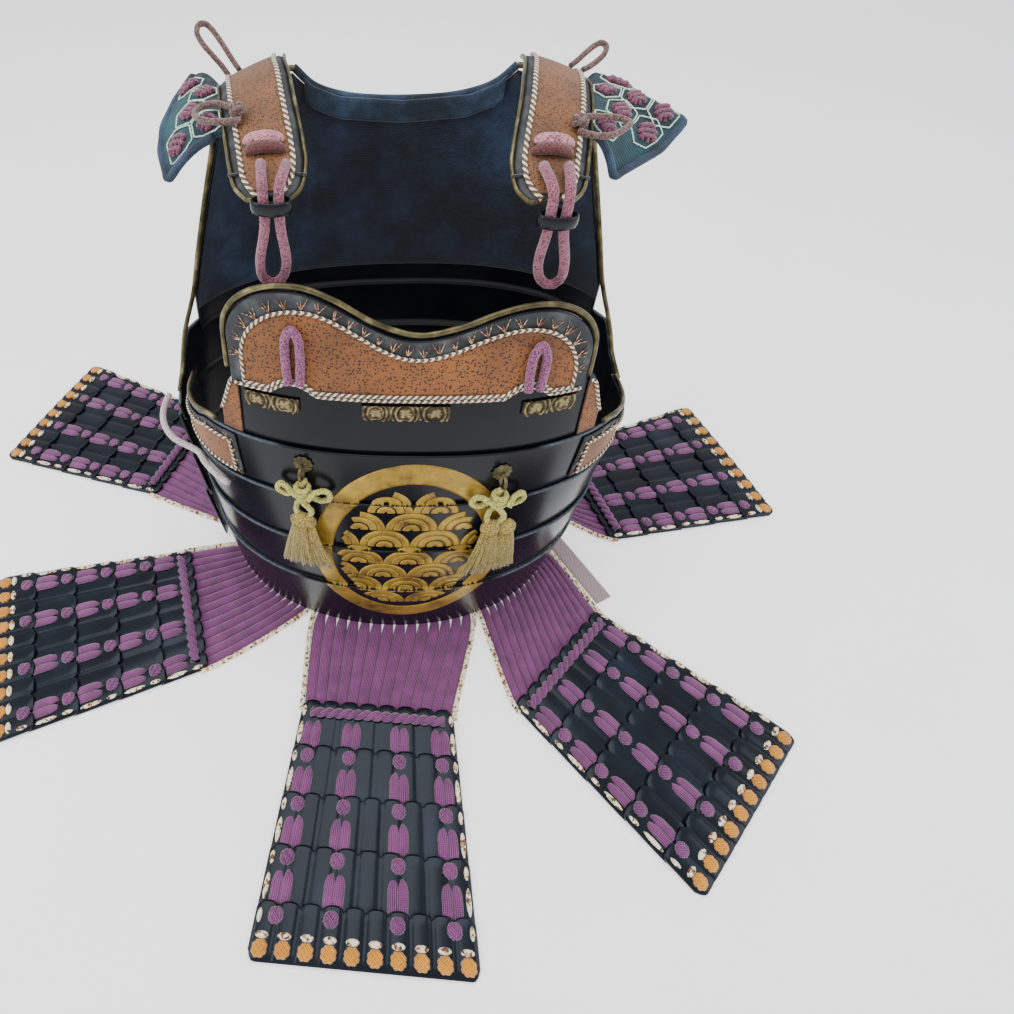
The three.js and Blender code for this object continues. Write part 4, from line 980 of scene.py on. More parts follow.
GILT = material("rubbed gold leaf", gilt_surface)
angle = np.linspace(0, 2 * np.pi, 721)[:, None]
share = np.linspace(RING_INNER, 1, 13)[None, :]
ring_x = CREST_X + CREST_HALF * share * np.sin(angle)
ring_z = CREST_Z + CREST_TALL * share * np.cos(angle)
lift = LEAF_OUT * np.minimum(1, 0.4 + 6 * np.minimum(share - RING_INNER, 1 - share) / 0.2)
crest = [(outwards(on_lames(ring_x, ring_z, lift), (0, -1, 0)), False)]
for row in range(-5, 6):
    for place_in_row in range(-4, 5):
        centre_x = CREST_X + WAVE_RADIUS * (2 * place_in_row + row % 2)
        centre_z = CREST_Z - 10 + WAVE_RADIUS * row
        for radius in WAVE_ARCS:
            bow = np.linspace(0, np.pi, 40)
            line = np.stack([centre_x + WAVE_RADIUS * radius * np.cos(bow),
                             centre_z + WAVE_RADIUS * radius * np.sin(bow)], 1)
            inside = np.hypot((line[:, 0] - CREST_X) / CREST_HALF,
                              (line[:, 1] - CREST_Z) / CREST_TALL) < WAVES_WITHIN
            edges = np.flatnonzero(np.diff(np.concatenate([[0], inside.astype(int), [0]])))
            for start, end in edges.reshape(-1, 2):
                if end - start > 3:
                    crest.append(leaf_strip(line[start:end], WAVE_RADIUS * WAVE_HALF))
piece("gilt_design", crest, GILT, thick=0.35)


# Rings and tassels: a gilt ring in a rosette on each side, with a knotted cord of pale green silk
# and a fringe whose twisted ends hang below its bound head.
def frame_at(x, z, clear):
    """A place on the lames: its origin and unit axes across, up the surface and out of it."""
    origin = on_lames(x, z, clear)
    across = unit(on_lames(x + 2, z, clear) - on_lames(x - 2, z, clear))
    up = unit(on_lames(x, z + 3, clear) - on_lames(x, z - 3, clear))
    return origin, np.stack([across, up, np.cross(across, up)])


def placed_at(points, spot):
    """Points along a spot's own axes, placed from its origin."""
    origin, axes = spot
    return np.asarray(points, float) @ axes + origin


RING_RADIUS, RING_WIRE, RING_DROP, RING_OUT = 6, 1.5, 4.5, 6.6
ROSETTE_RADIUS, ROSETTE_PETALS = 8.2, 10
COLLAR_DROPS, COLLAR_RADIUS = (-13, -17.5, -22), 5.4
KNOT = [
    (1.9, -1.95, 3.5), (-4, -14, 4), (-15, -22, 4), (-23, -17, 4), (-19, -10, 4.5), (-8, -14, 9),
    (2, -24, 11), (7, -35, 9), (1, -43, 8), (-7, -37, 8), (-5, -28, 5), (5, -22, 4), (15, -24, 4),
    (23, -19, 4), (20, -11, 4.5), (11, -11, 9), (6, -16, 14.5),
]
KNOT_BELOW = 11
TASSELS = {
    # name: ring's x and height, then each fringe's x, height, length and half width
    "left": (-86, 252, [(-86, 198, 60, 13)]),
    "right": (75, 247, [(71, 194, 60, 9.5), (85, 192, 56, 9.5)]),
}
GREEN_SILK = material("pale yellow-green silk braid", braid_surface("d3cc74", "a8a24a", "6c6626"))
THREADS_PER_HALF = 20
FRINGE_SILK = material("gold-green twisted silk", braid_surface("bda94e", "8c7730", "4f3f12"))


def fringe(x, z, long, wide):
    """A bound head and, below it, threads that spread a little and end unevenly: their number
    grows with the fringe's half width."""
    spot = frame_at(x, z, 2.3)
    made = []
    down = np.linspace(0, 1, 9)
    profile = np.sin(np.pi * np.clip(down * 0.94 + 0.03, 0, 1)) ** 0.55
    head = np.stack([0 * down, 6 - 14 * down, 7 + 0 * down], 1)
    made.append(band(placed_at(head, spot), spot[1][2], wide * 0.8 * profile, 5.2 * profile,
                     sides=14))
    for turn_at in np.linspace(-1, -5.5, 4):
        bend = np.linspace(0, 2 * np.pi, 15)
        loop = np.stack([wide * 0.84 * np.cos(bend), 0 * bend + turn_at, 7 + 5.4 * np.sin(bend)], 1)
        made.append(band(placed_at(loop, spot), spot[1][1], 0.9, 0.9, sides=6))
    for _ in range(int(wide * THREADS_PER_HALF)):
        across = random.uniform(-1, 1)
        depth = random.uniform(-1, 1) * np.sqrt(1 - across ** 2)
        length = long * random.uniform(0.86, 1.0)
        share = np.linspace(0, 1, 7)
        sway = 0.8 * np.sin(share * 5 + random.uniform(0, 6))
        thread = np.stack([across * wide * (0.7 + 1.1 * share) + sway * share,
                           -6 - length * share,
                           7 + depth * 3.6 + 2.2 * np.sin(np.pi * share) + 2 * share], 1)
        radius = 0.62 + 0.14 * np.cos(share * 40)
        made.append(band(placed_at(thread, spot), spot[1][2], radius, radius, sides=4))
    return made


for name, (x, z, skirts) in TASSELS.items():
    spot = frame_at(x, z, 0.9)
    around = np.linspace(0, 2 * np.pi, 49)
    loop = np.stack([0 * around, -RING_DROP + RING_RADIUS * np.cos(around),
                     RING_OUT + RING_RADIUS * np.sin(around)], 1)
    gilt_parts = [band(placed_at(loop, spot), spot[1][0], RING_WIRE, RING_WIRE, sides=10)]
    reach, turned = np.linspace(0, 1, 12)[:, None], np.linspace(0, 2 * np.pi, 65)[:-1][None, :]
    petals = np.cos(ROSETTE_PETALS * turned)
    radius = (0.3 + ROSETTE_RADIUS * reach) * (1 + 0.07 * petals * reach)
    rise = 0.4 + 2.6 * (1 - reach ** 2) + 0.5 * petals * np.sin(np.pi * reach)
    rosette = np.stack([radius * np.cos(turned), radius * np.sin(turned), rise], -1)
    gilt_parts.append((placed_at(rosette, spot)[::-1], True))
    post = np.stack([np.zeros(5), np.zeros(5), np.linspace(1, 7.4, 5)], 1)
    gilt_parts.append(band(placed_at(post, spot), spot[1][1], 2, 2, sides=12))
    piece("gilt_ring_" + name, gilt_parts, BRASS, replaces=["ring_" + name])
    knot_spot = frame_at(x, z, 2.3)
    route = placed_at(np.array(KNOT) - [0, KNOT_BELOW, 0], knot_spot)
    cord = band(smoothed(route, 150), knot_spot[1][2], 2.5, 2.5, sides=10, strands=3,
                pitch=6.5, relief=0.08)
    collar_turns = []
    for lift in COLLAR_DROPS:
        bend = np.linspace(0, 2 * np.pi, 21)
        loop = np.stack([COLLAR_RADIUS * np.cos(bend), -KNOT_BELOW + lift + 4 + 0 * bend,
                         6 + COLLAR_RADIUS * np.sin(bend)], 1)
        collar_turns.append(band(placed_at(loop, knot_spot), knot_spot[1][1], 2.2, 2.2, sides=8))
    piece("knot_" + name, [cord] + collar_turns, GREEN_SILK,
          replaces=["tassel_" + name])
    piece("fringe_" + name, [part for skirt in skirts for part in fringe(*skirt)], FRINGE_SILK)

# Shoulder straps: stiff leather over the shoulders, printed in the middle, with dyed edging, two
# braids and a thin rim; the back half stands turned, so the left strap leaves it lower.
STRAP = np.array([
    # x, y, height, half width, tilt, the left one's drop and further tilt
    (115, 108, 463.85, 25, 0.3, 4, 0.12), (114, 96, 467.6, 25, 0.3, 3.8, 0.12),
    (112, 78, 471, 25, 0.28, 2, 0.08), (107, 52, 473, 25, 0.25, 1, 0.04),
    (102, 24, 470, 25, 0.2, 0, 0), (96, -4, 462, 25, 0.12, 0, 0), (94, -14, 458, 25, 0.08, 0, 0),
    (92, -26, 453.5, 24.5, 0.04, 0, 0), (91, -42, 447.5, 21, 0, 0, 0), (91, -49, 443, 13, 0, 0, 0),
])
STRAP_SHIFT, STRAP_THICK, STRAP_CROWN = -11, 4.5, 2
STRAP_END = len(STRAP) - 1
LEATHER_TO, SEAM_AT, RIM_AT = 0.67, 0.7, 1.02
STRAP_UP = (0, -0.35, 0.93)
strap_reach = np.linspace(0, STRAP_END, 70)


def lowered(side, table):
    """Rows of the strap's table with the left strap's drop and further tilt."""
    if side < 0:
        table[..., 2] -= table[..., 5]
        table[..., 4] += table[..., 6]
    return table


def strap_rows(side, row):
    """The strap's table read between its stations by a cubic through four of them."""
    padded = np.vstack([2 * STRAP[0] - STRAP[1], STRAP, 2 * STRAP[-1] - STRAP[-2]])
    index = np.clip(np.floor(row).astype(int), 0, len(STRAP) - 2)
    part = (row - index)[..., None]
    p0, p1, p2, p3 = (padded[index + i] for i in range(4))
    table = 0.5 * (2 * p1 + (p2 - p0) * part + (2 * p0 - 5 * p1 + 4 * p2 - p3) * part ** 2
                   + (3 * p1 - p0 - 3 * p2 + p3) * part ** 3)
    return lowered(side, table)


def on_strap(side, row, share, out):
    """A point of the strap: along it by station, across it from -1 to 1, crowned in the middle."""
    row, share, out = np.broadcast_arrays(np.asarray(row, float), share, out)
    table = strap_rows(side, row)
    ahead_row, behind_row = np.minimum(row + 0.5, STRAP_END), np.maximum(row - 0.5, 0)
    step = strap_rows(side, ahead_row) - strap_rows(side, behind_row)
    along = unit(step[..., 1:3])
    crown = STRAP_CROWN * (1 - share ** 2) + out
    sunk = along[..., 0] * crown + table[..., 4] * table[..., 3] * share
    return np.stack([side * (table[..., 0] + table[..., 3] * share) + STRAP_SHIFT,
                     table[..., 1] + along[..., 1] * crown, table[..., 2] - sunk], -1)


STRAP_LEATHER = material("speckled tan deerskin",
                         printed_leather_surface("7c4b20", "5f3918", "1f1107", 560.0))
BUCKLE_LIGHT = material("pale pink silk cord", braid_surface("c98c98", "a96a78", "60303a"))
# The lower cord is the same pale pink cord, coloured darker as painted shade; the upper one is its
# lit side.
BUCKLE_SHADE = material("madder silk cord", braid_surface("682c2a", "4d1b19", "280b0b"))
BUCKLES = [
    # name, its station on the strap, height over it, finish
    ("upper", 5.75, 2.9, BUCKLE_LIGHT),
    # the lower cord: the pink cord in painted shade
    ("lower", 6.4, 2.2, BUCKLE_SHADE),
]
THREAD = material("black linen thread", braid_surface("2c2c34", "1b1b21", "0d0d10"))
SLIDER_HEIGHTS = {"left": 446.6, "right": 439}
for name, side in SIDES:
    across = np.linspace(-1, 1, 15)
    round_off = np.sqrt(np.clip(1 - across ** 8, 0, 1))
    top = on_strap(side, strap_reach[:, None], across[None, :], STRAP_THICK / 2 * round_off)
    base = on_strap(side, strap_reach[:, None], across[None, ::-1],
                    -STRAP_THICK / 2 * round_off[::-1])
    shell = np.concatenate([top, base[:, 1:-1]], 1)
    piece("edging_strap_" + name, [(shell if side < 0 else shell[:, ::-1], True)], DYED_LEATHER,
          replaces=["strap_" + name])
    leather_share = np.linspace(-LEATHER_TO, LEATHER_TO, 13)[None, :]
    field = on_strap(side, strap_reach[:66, None], leather_share, STRAP_THICK / 2 + 0.9)
    piece("leather_strap_" + name, [(outwards(field, UP), False)], STRAP_LEATHER,
          thick=0.8)
    rows = np.linspace(0, STRAP_END, 150)
    close_in = np.where(rows > 7.6, 1 - 0.22 * (rows - 7.6), 1)
    lines, rims = [], []
    for edge in (-1, 1):
        line = on_strap(side, rows, edge * SEAM_AT * close_in, STRAP_THICK / 2 + 1.3)
        lines.append(band(line, STRAP_UP, 1.7, 1.2, sides=8))
        rim_line = on_strap(side, rows, edge * RIM_AT, 0.8)
        rims.append(band(rim_line, UP, 1.3, 1.7, sides=8))
    end_share = np.linspace(-RIM_AT, RIM_AT, 20)
    rims.append(band(on_strap(side, STRAP_END, end_share, 0.8), UP, 1.5, 1.7, sides=8))
    piece("braid_strap_" + name, lines, CREAM_BRAID)
    piece("rim_strap_" + name, rims, BRASS)
    ties = []
    for edge in (-1, 1):
        tie = on_strap(side, 7.5 + 0 * end_share[:6], edge * np.linspace(0.6, 1.1, 6),
                       STRAP_THICK / 2 + 0.8)
        ties.append(band(tie, UP, 0.9, 0.9, sides=6))
    piece("thread_tie_" + name, ties, THREAD)
    share = np.linspace(-1, 1, 31)
    thick = np.sqrt(np.clip(1 - (share * 0.985) ** 4, 0, 1))
    for kind, row, lift, finish in BUCKLES:
        arch = on_strap(side, row + 0 * share, share * 0.54,
                        STRAP_THICK / 2 + lift + 2.8 * (1 - share ** 2))
        piece("buckle_" + kind + "_" + name,
              [band(arch, STRAP_UP, 4.4 * thick, 3.0 * thick, sides=14, strands=4,
                    pitch=9, relief=0.03)],
              finish, replaces=["buckle_" + name] if kind == "upper" else ())
    height = SLIDER_HEIGHTS[name]
    middle = loop_middle(name, height)
    turned = np.linspace(0, 2 * np.pi, 65)
    oval = np.stack([middle + 12.1 * np.cos(turned), -61.4 + 5.9 * np.sin(turned),
                     height + 0 * turned], 1)
    piece("ring_slider_" + name, [band(oval, UP, 1.25, 4.5, sides=12)], PLAIN_LACQUER,
          replaces=["slider_" + name])

# Wings: quilted hemp cloth on the shoulders, stitched in hexagons round crossed silk knots and
# bound with blue twill; they are sewn to the straps' outer edges and droop a little.
WINGS = {
    "left": np.array([(100, 159, 457), (76, 168, 451), (50, 175, 443), (26, 174, 436),
                      (4, 167, 428)]),
    "right": np.array([(98, 152, 456), (82, 189, 447), (67, 211, 442), (42, 189, 433),
                       (9, 149, 430)]),
}
WING_GAP, WING_THICK, WING_SAG = 0.6, 3.4, 5


def on_wing(name, side, share, y, out):
    """A wing between the strap's edge and its own outer edge, arched in a half sine."""
    share, y, out = np.broadcast_arrays(np.asarray(share, float), y, out)
    back_first = STRAP[::-1]
    table = np.stack([np.interp(y, back_first[:, 1], column_of) for column_of in back_first.T], -1)
    table = lowered(side, table)
    edge_x = table[..., 0] + table[..., 3] + WING_GAP
    edge_z = table[..., 2] - table[..., 4] * table[..., 3] - WING_THICK / 2
    outer = WINGS[name][::-1]
    far_x, far_z = np.interp(y, outer[:, 0], outer[:, 1]), np.interp(y, outer[:, 0], outer[:, 2])
    x = edge_x + (far_x - edge_x) * share
    z = edge_z + (far_z - edge_z) * share + WING_SAG * np.sin(np.pi * share)
    return np.stack([side * x + STRAP_SHIFT, y + 0 * x, z + WING_THICK + out], -1)


TEAL_CLOTH = material("teal dyed hemp", cloth_surface("1c5a5c", "123f48", "0b2630"))
STITCH = material("pale green sewing silk", braid_surface("e4f0dc", "c3dcc8", "86a894"))
KNOT_SILK = material("crossed pink silk knots", braid_surface("8e4862", "622a46", "2c0f20"))
HEX, ROOT_3 = 13.5, 1.732
DIAGONAL = 0.707
WING_BAR, WING_BARS_APART = 6.8, 5.2
for name, side in SIDES:
    outer = WINGS[name]
    y_range = np.linspace(outer[0, 0], outer[-1, 0], 60)[:, None]
    share = np.linspace(0, 1, 26)[None, :]
    quilt = np.abs(np.sin(share * np.pi * 2.5)) * np.abs(np.sin((y_range - 4) / 24 * np.pi))
    top = outwards(on_wing(name, side, share, y_range, quilt), UP)
    cloth = piece("quilted_wing_" + name, [(top, False)], TEAL_CLOTH,
                  replaces=["wing_" + name], thick=WING_THICK - 0.4)
    edge_y = np.concatenate([y_range[:, 0], np.full(20, outer[-1, 0])])
    edge_share = np.concatenate([np.full(60, 1.0), np.linspace(1, 0.02, 20)])
    hem = on_wing(name, side, edge_share, edge_y, -1.2)
    piece("binding_wing_" + name, [band(smoothed(hem[::4], 90), UP, 4.2, 2.9, sides=12)],
          TWILL)
    knots, stitches = [], []
    for row in range(-1, 6):
        for place_in_row in range(8):
            centre_y = outer[-1, 0] + 12 + HEX * 1.5 * row
            off = 10 + HEX * ROOT_3 * (place_in_row + row % 2 / 2)
            if not outer[-1, 0] + 6 < centre_y < outer[0, 0] - 5:
                continue
            span = on_wing(name, side, 1.0, centre_y, 0) - on_wing(name, side, 0.0, centre_y, 0)
            width = abs(span[0])
            if off > width - 7:
                continue
            corner = np.linspace(0, 2 * np.pi, 7) + np.pi / 2
            hexagon = np.stack([off + HEX * 0.93 * np.cos(corner),
                                centre_y + HEX * 0.93 * np.sin(corner)], 1)
            hexagon = even(hexagon, 1.6)
            hexagon[:, 0] = np.clip(hexagon[:, 0], 1, width - 4)
            hexagon[:, 1] = np.clip(hexagon[:, 1], outer[-1, 0] + 2, outer[0, 0] - 1)
            line = on_wing(name, side, hexagon[:, 0] / width, hexagon[:, 1], 1.1)
            stitches.append(band(line, UP, 0.55, 0.5, sides=6))
            for layer, slant in enumerate((-1, 1)):
                for bar in (-0.5, 0, 0.5):
                    long = np.linspace(-1, 1, 7) * WING_BAR * np.sqrt(1 - bar ** 2)
                    a = off + long * DIAGONAL - slant * bar * WING_BARS_APART
                    b = centre_y + slant * long * DIAGONAL + bar * WING_BARS_APART
                    lift = 0.8 + (1.2 + layer) * (1 - np.linspace(-1, 1, 7) ** 4)
                    line = on_wing(name, side, a / width, b, lift)
                    knots.append(band(line, UP, 1.9, 1.4, sides=6))
    piece("wing_stitches_" + name, stitches, STITCH)
    piece("wing_knots_" + name, knots, KNOT_SILK)

# Knots at the side loops' roots: small round knots of the same dusky cord.
turns = np.linspace(0, 2 * np.pi, 61)
knot_form = np.stack([(2 + np.cos(3 * turns)) * np.cos(2 * turns),
                      (2 + np.cos(3 * turns)) * np.sin(2 * turns), 1.2 * np.sin(3 * turns)], 1)
KNOT_ROOTS = {"left": (-124, 8, 474.5), "right": (102, 3, 471.5)}
ROOT_KNOT_SIZE, ROOT_KNOT_UP = 1.5, (0.2, 0.3, 0.9)
for name, root in KNOT_ROOTS.items():
    piece("root_knot_" + name,
          [band(knot_form * ROOT_KNOT_SIZE + root, ROOT_KNOT_UP, 1.8, 1.8, sides=8)],
          DUSKY_SILK)

# Waist band: a flat herringbone weave that comes out from under the hem and lies on the floor.
BAND_ROUTE = np.array([(181, -4, 1.8), (189, -12, 1.8), (197, -22, 0), (204, -34, 0), (222, -68, 0),
                       (239, -100, 0)])
BAND_HALF, BAND_THICK = 10, 1.6


def herringbone_surface(tree):
    """Herringbone twill in grey and rose: rows of slanting stitches 5 mm wide that turn back."""
    split = node(tree, "SeparateXYZ", links={0: node(tree, "TexCoord").outputs["UV"]})
    slanted = calculate(tree, "ADD", split.outputs[0],
                        calculate(tree, "PINGPONG", split.outputs[1], 0.005))
    wave = calculate(tree, "SINE", calculate(tree, "MULTIPLY", slanted, 2600.0))
    colour = ramp(tree, wave, [(0.0, "7d6a70"), (0.5, "b9a6a9")])
    return principled(tree, colour, (wave, 0.5, 0.0006), {"Roughness": 0.85, "Sheen Weight": 0.2})


HERRINGBONE = material("grey rose herringbone weave", herringbone_surface)
line = smoothed(BAND_ROUTE, 50)
run = unit(np.gradient(line, axis=0) * [1, 1, 0])
sideways_of = np.stack([-run[:, 1], run[:, 0], 0 * run[:, 0]], 1)
woven = line[:, None] + sideways_of[:, None] * (BAND_HALF * np.linspace(-1, 1, 9))[None, :, None]
woven[..., 2] += BAND_THICK
waist = piece("woven_waist_band", [(outwards(woven, UP), False)], HERRINGBONE,
              replaces=["waist_band"], thick=BAND_THICK - 0.1)


# Skirt: seven panels of five lacquered lames, each a row of domed scales with scalloped heads that
# lie on the lame above. Silk laces tie them together and hang them from the barrel's hem.
PANELS = [
    # name, x, y, heading, start and end of its arc of the hem, all angles in degrees
    ("front", -20, -224, -94, -28, 28),
    ("front_right", 172, -168, -44.5, 31, 77),
    ("side_right", 242, 53, 16.4, 96, 142),
    ("back_right", 88, 206, 62, 145, 178),
    ("back_left", -102, 206, 118, 182, 215),
    ("side_left", -269, 113, 158.3, 218, 264),
    ("front_left", -219, -112, 196, 283, 329),
]
PANEL_TOP, PANEL_BOTTOM = 152, 195
LAME, LAMES = 44, 5
PANEL_LONG = LAME * LAMES
SCALES = [8, 8, 9, 9, 10]
HEAD_HIGH, TAIL_HIGH = 6.8, 3.6
DOME = 1.6
SCALLOP = 4.5
SCALE_DOME = 0.9
SCALE_STEPS = 8


def half_width(s):
    """Half a panel's width at a distance down it."""
    return (PANEL_TOP + (PANEL_BOTTOM - PANEL_TOP) * s / PANEL_LONG) / 2


def on_panel(panel, s, t, z):
    """A point of a panel: s down from its upper edge and t from -1 to 1 across its width, which
    grows evenly from top to bottom."""
    x, y, heading = panel[1:4]
    s, t, z = np.broadcast_arrays(np.asarray(s, float), np.asarray(t, float), z)
    a = np.radians(heading)
    half = half_width(s)
    return np.stack([x + s * np.cos(a) - t * half * np.sin(a),
                     y + s * np.sin(a) + t * half * np.cos(a), z], -1)


def lame_height(s, t, extra=0.0):
    """Height of the lames' face: it falls from each head to the tail under the next head."""
    share = np.clip((s % LAME) / LAME, 0, 1)
    share = np.where(s >= PANEL_LONG, 1, share)
    return HEAD_HIGH + (TAIL_HIGH - HEAD_HIGH) * share + DOME * (1 - np.square(t)) + extra


def scale_row(panel, index):
    """One lame's closed shell: across it, scales of a rounded section; each head is a half
    circle cut to SCALLOP, and the edge all round is turned down to the underside."""
    count = SCALES[index] * SCALE_STEPS
    t = np.linspace(-1, 1, count + 1)
    place = (np.arange(count + 1) % SCALE_STEPS) / SCALE_STEPS * 2 - 1
    scallop = SCALLOP * (1 - np.sqrt(1 - np.square(place)))
    corner = 7 * np.clip((np.abs(t) - 0.93) / 0.07, 0, 1) ** 2
    head = LAME * index + scallop + (corner if index == 0 else 0)
    last = index == LAMES - 1
    foot = LAME * (index + 1) + (0 if last else SCALLOP + 2)
    foot = np.full(count + 1, float(foot)) - (corner * 1.2 if last else 0)
    rows = np.array([0, 0, 0.035, 0.2, 0.5, 0.8, 0.96, 1, 1])[:, None]
    rounded = np.array([-1, -0.25, 0, 0, 0, 0, 0, -0.25, -1])[:, None]
    s = head + (foot - head) * rows
    ridge = SCALE_DOME * np.sqrt(np.clip(1 - place ** 6, 0, 1)) + 0.5 * (1 - place ** 2)
    fall = HEAD_HIGH + (TAIL_HIGH - HEAD_HIGH) * np.clip((s - LAME * index) / LAME, 0, 1.05)
    z = fall + DOME * (1 - t ** 2) + ridge - 1.2 + 2.2 * rounded
    face = on_panel(panel, s, t, np.maximum(z, 0.4))
    under = on_panel(panel, s[::-1], t, np.maximum(z - 2.4, 0.3)[::-1])
    return np.concatenate([face, under]).transpose(1, 0, 2)[:, ::-1], True


def panel_lacquer_surface(tree):
    """Urushi on small iron scales: blue-black and glossier than the barrel's."""
    cloud = noise(tree, 22.0, 6.0)
    colour = ramp(tree, cloud, [(0.3, "06080c"), (0.6, "0d131c"), (0.8, "192434")])
    return principled(tree, colour, (noise(tree, 400.0, 3.0), 0.06, 0.0005),
                      {"IOR": 1.5, "Specular IOR Level": 0.36, "Specular Tint": linear("c4ccd8")},
                      {"Roughness": spread(tree, cloud, 0.14, 0.28)})


SCALE_LACQUER = material("blue-black urushi lacquer", panel_lacquer_surface)


def lace_surface(light, middle, dark):
    """Flat silk braid: fine ribs along its length, drawn near twice as wide as the real ones so
    that they show, with small stitches across them; the colour follows their relief, darker in
    the grooves as painted shade and paler on the ribs as painted highlight, with random fading."""
    def surface(tree):
        uv = node(tree, "TexCoord").outputs["UV"]
        ribs = waves(tree, uv, {"Scale": 200.0, "Distortion": 1.2, "Detail": 1.0}, "Y")
        stitches = waves(tree, uv, {"Scale": 190.0, "Distortion": 2.5})
        height = calculate(tree, "ADD", ribs, calculate(tree, "MULTIPLY", stitches, 0.35))
        faded = calculate(tree, "MULTIPLY", noise(tree, 60.0, 5.0), 0.4)
        # Colour from the ribs' height: painted shade in the grooves and painted highlight on the
        # tops, plus random fading.
        colour = ramp(tree, calculate(tree, "MULTIPLY_ADD", height, 0.4, faded),
                      [(0.22, dark), (0.44, middle), (0.72, light)])
        return principled(tree, colour, (height, 0.5, 0.001),
                          {"Roughness": 0.8, "Sheen Weight": 0.35})
    return surface


PURPLE_LACE = material("purple flat silk braid", lace_surface("8c4280", "652a5e", "2c0e2e"))
ORANGE_LACE = material("orange silk cross lace", lace_surface("eda40c", "d48604", "8a5002"))


def speckled_surface(tree):
    """Braid of cream silk with brown and a little green: flecks of about 2 mm."""
    place = node(tree, "TexCoord").outputs["Object"]
    flecks = node(tree, "TexVoronoi", {"Scale": 460.0, "Randomness": 1.0}, {"Vector": place})
    split = node(tree, "SeparateColor", links={0: flecks.outputs["Color"]})
    colour = node(tree, "ValToRGB", links={0: split.outputs[0]},
                  stops=[(0.0, "ece2c8"), (0.45, "dcc8a0"), (0.6, "6b3d24"), (0.74, "b3875a"),
                         (0.86, "3d3b2b"), (0.92, "ece6d4")])
    colour.color_ramp.interpolation = "CONSTANT"
    return principled(tree, colour.outputs[0], (flecks.outputs["Distance"], 0.5, 0.001),
                      {"Roughness": 0.8, "Sheen Weight": 0.2})


SPECKLED = material("speckled silk braid", speckled_surface)
LACE_COLUMNS = [-0.81, -0.31, 0.29, 0.8]
STRIP_HALF, STRIP_HIGH = 4.7, 1.7
STRIP_FROM, STRIP_TO = 20, 46
KNOT_AT, KNOT_HALF = 10.5, 6.2
EDGE_AT = 0.955


def strips(panel, start, column):
    """Two laces side by side, pointed where they leave their holes and tucked below."""
    s = start + np.linspace(STRIP_FROM, STRIP_TO, 9)
    end = np.array([0.25, 0.7, 0.9, 1, 1, 1, 1, 1, 1])
    lift = np.array([-1.2, 0.2, 0.7, 0.9, 0.9, 0.9, 0.8, 0.5, 0])
    made = []
    for side in (-1, 1):
        offset = side * STRIP_HALF * (0.62 + 0.34 * end)
        t = column + offset / half_width(s)
        z = lame_height(np.minimum(s, start + LAME - 0.01), t, lift)
        made.append(band(on_panel(panel, s, t, z), UP, STRIP_HALF * end, STRIP_HIGH * end))
    return made


def cross_knot(panel, s, column, half, high, bars=3):
    """A cross lace: three slanting turns one way lie over three the other way."""
    made = []
    share = np.linspace(-1, 1, 7)
    for layer, slant in enumerate((-1, 1)):
        for bar in np.linspace(-0.72, 0.72, bars):
            long = share * half * min(1.0, 1.25 - abs(bar))
            across = long * DIAGONAL - slant * bar * half * DIAGONAL
            down = slant * long * DIAGONAL + bar * half * DIAGONAL
            t = column + across / half_width(s)
            lift = high * (0.5 + 0.55 * layer) * (1 - share ** 4) - 0.6 * share ** 4
            path = on_panel(panel, s + down, t, lame_height(s + down, t, lift))
            made.append(band(path, UP, half * 0.3, high * 0.6, sides=6))
    return made


def bead(panel, s, t, along, across, high=2.0, crosswise=False):
    """A short oval turn of braid, thickest in its middle, laid along the panel or across it."""
    share = np.linspace(-1, 1, 7)
    round_off = np.sqrt(1 - (share * 0.97) ** 2)
    if crosswise:
        down, aside, half = s + 0 * share, t + across * share / half_width(s), along
    else:
        down, aside, half = s + along * share, t, across
    path = on_panel(panel, down, aside, lame_height(down, aside, 0.3 + high * 0.3))
    return band(path, UP, half * round_off, high * round_off, sides=8)


ROPE_AT, ROPE_SHARE, ROPE_PITCH, ROPE_STRAND = 13, 0.86, 19, 2.5
BOTTOM_ROW, ORANGE_ROW = 25, 34.5
BRAIDS = 14
MARGIN_OUT = 0.018
EDGE_BEADS = [
    # distance down the lame, half its length, half its width
    (11.5, 5.2, 2.1),
    (33, 10.5, 2.3),
]
HEM_UNDER, SWEEP, BRAID_UNDER, BRAID_WIDTH = 9, 55, 9, 0.97


def hem_point(angle, out):
    """The barrel's plan at the hem, the angle counted from the front round by the right."""
    angle = np.asarray(angle, float)
    front = np.where(angle >= 270, angle - 360, angle)
    on_side = (angle <= 90) | (angle >= 270)
    return np.where(on_side[..., None], on_front(front, SEAMS[0], out),
                    on_back(180 - angle, SEAMS[0], out))


def suspension_line(panel, share, v, z):
    """A Hermite curve on the floor from under the hem to under the panel's upper edge: the
    share counts across the braids from 0 to 1, and v along them."""
    share, v, z = np.broadcast_arrays(np.asarray(share, float), np.asarray(v, float), z)
    heading, first_angle, last_angle = panel[3:]
    angle = first_angle + (last_angle - first_angle) * share
    start = hem_point(angle, -HEM_UNDER)
    outward = unit((hem_point(angle, 1) - start) * [1, 1, 0])
    end = on_panel(panel, BRAID_UNDER, (2 * share - 1) * BRAID_WIDTH, 0)
    heading = np.radians(heading)
    ahead_of = np.array([np.cos(heading), np.sin(heading), 0])
    v = v[..., None]
    place = start * (2 * v ** 3 - 3 * v ** 2 + 1) + outward * SWEEP * (v ** 3 - 2 * v ** 2 + v)
    place = place + end * (-2 * v ** 3 + 3 * v ** 2) + ahead_of * SWEEP * (v ** 3 - v ** 2)
    place[..., 2] = z
    return place


FLAT_HIGH = 3.4


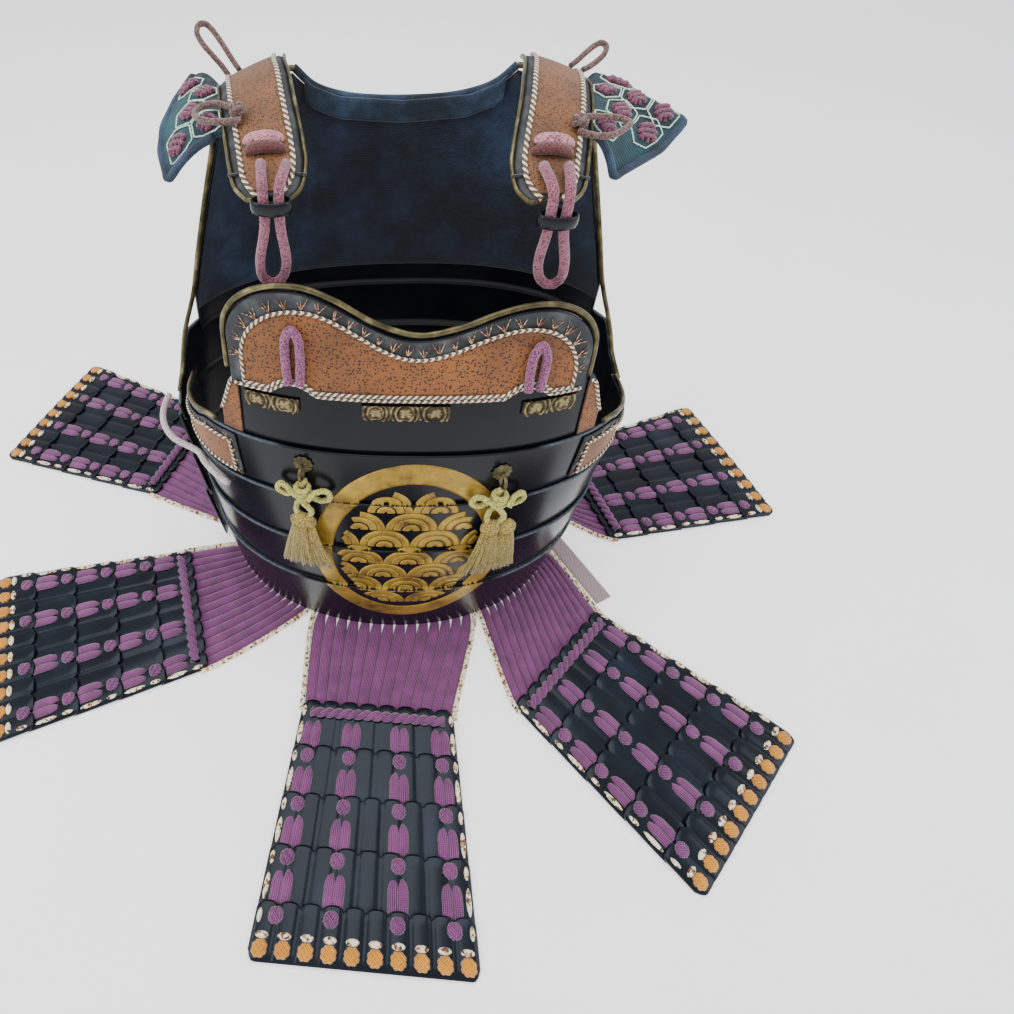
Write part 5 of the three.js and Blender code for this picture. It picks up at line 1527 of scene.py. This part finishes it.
def flat_braid(panel, index):
    """One flat braid: a low dome in section, narrowed to a point where it leaves the hem."""
    v = np.linspace(0, 1, 25)
    narrow = 0.72 + 0.31 * np.clip((v - 0.1) / 0.14, 0, 1) ** 0.6
    across = np.array([-1, -0.93, -0.7, -0.35, 0, 0.35, 0.7, 0.93, 1])
    rise = np.array([0.08, 0.5, 0.8, 0.95, 1, 0.95, 0.8, 0.5, 0.08]) * FLAT_HIGH
    middle = (index + 0.5) / BRAIDS
    share = middle + across[None, :] * narrow[:, None] * 0.5 / BRAIDS
    top = suspension_line(panel, share, v[:, None], rise[None, :])
    base = suspension_line(panel, share[:, ::-1], v[:, None], 0.0)
    return np.concatenate([top, base[:, 1:-1]], 1)[:, ::-1], True


for panel in PANELS:
    name = panel[0]
    piece("scales_" + name, [scale_row(panel, i) for i in range(LAMES)], SCALE_LACQUER,
          replaces=["panel_" + name])
    purple, speckled, orange = [], [], []
    rope_t = np.linspace(-ROPE_SHARE, ROPE_SHARE, 150)
    reach = (rope_t + ROPE_SHARE) * half_width(ROPE_AT)
    for phase in (0, np.pi):
        turned = 2 * np.pi * reach / ROPE_PITCH + phase
        strand = on_panel(panel, ROPE_AT + ROPE_STRAND * np.cos(turned), rope_t,
                          lame_height(ROPE_AT, rope_t, 2.4 + 1.6 * np.sin(turned)))
        purple.append(band(strand, UP, 2.9, 2.3, sides=10))
    for index in range(LAMES):
        start = LAME * index
        for column_at in LACE_COLUMNS:
            if index < LAMES - 1:
                purple += strips(panel, start, column_at)
            if index:
                purple += cross_knot(panel, start + KNOT_AT, column_at, KNOT_HALF, 1.9)
                purple.append(bead(panel, start + KNOT_AT, column_at, KNOT_HALF, KNOT_HALF, 1.8))
        for side in (-1, 1):
            for at, along, across in EDGE_BEADS[:1 if index == LAMES - 1 else 2]:
                speckled.append(bead(panel, start + at, side * EDGE_AT, along, across))
    bottom = LAME * (LAMES - 1)
    for t in np.linspace(-0.9, 0.9, 10):
        speckled.append(bead(panel, bottom + BOTTOM_ROW, t, 2.9, 5.6, crosswise=True))
        orange += cross_knot(panel, bottom + ORANGE_ROW, t, 6.2, 1.8, bars=4)
        orange.append(bead(panel, bottom + ORANGE_ROW, t, 6.2, 6.2, 1.9))
    piece("laces_" + name, purple, PURPLE_LACE)
    piece("edge_laces_" + name, speckled, SPECKLED)
    piece("orange_laces_" + name, orange, ORANGE_LACE)
    piece("braids_" + name, [flat_braid(panel, i) for i in range(BRAIDS)], PURPLE_LACE,
          replaces=["lacing_" + name])
    margins = []
    for share in (-MARGIN_OUT, 1 + MARGIN_OUT):
        margin = suspension_line(panel, share, np.linspace(0.02, 1, 60), 2.6)
        margins.append(band(margin, UP, 2.6, 2.0, sides=10, strands=3, pitch=9, relief=0.14))
    piece("margin_laces_" + name, margins, SPECKLED)
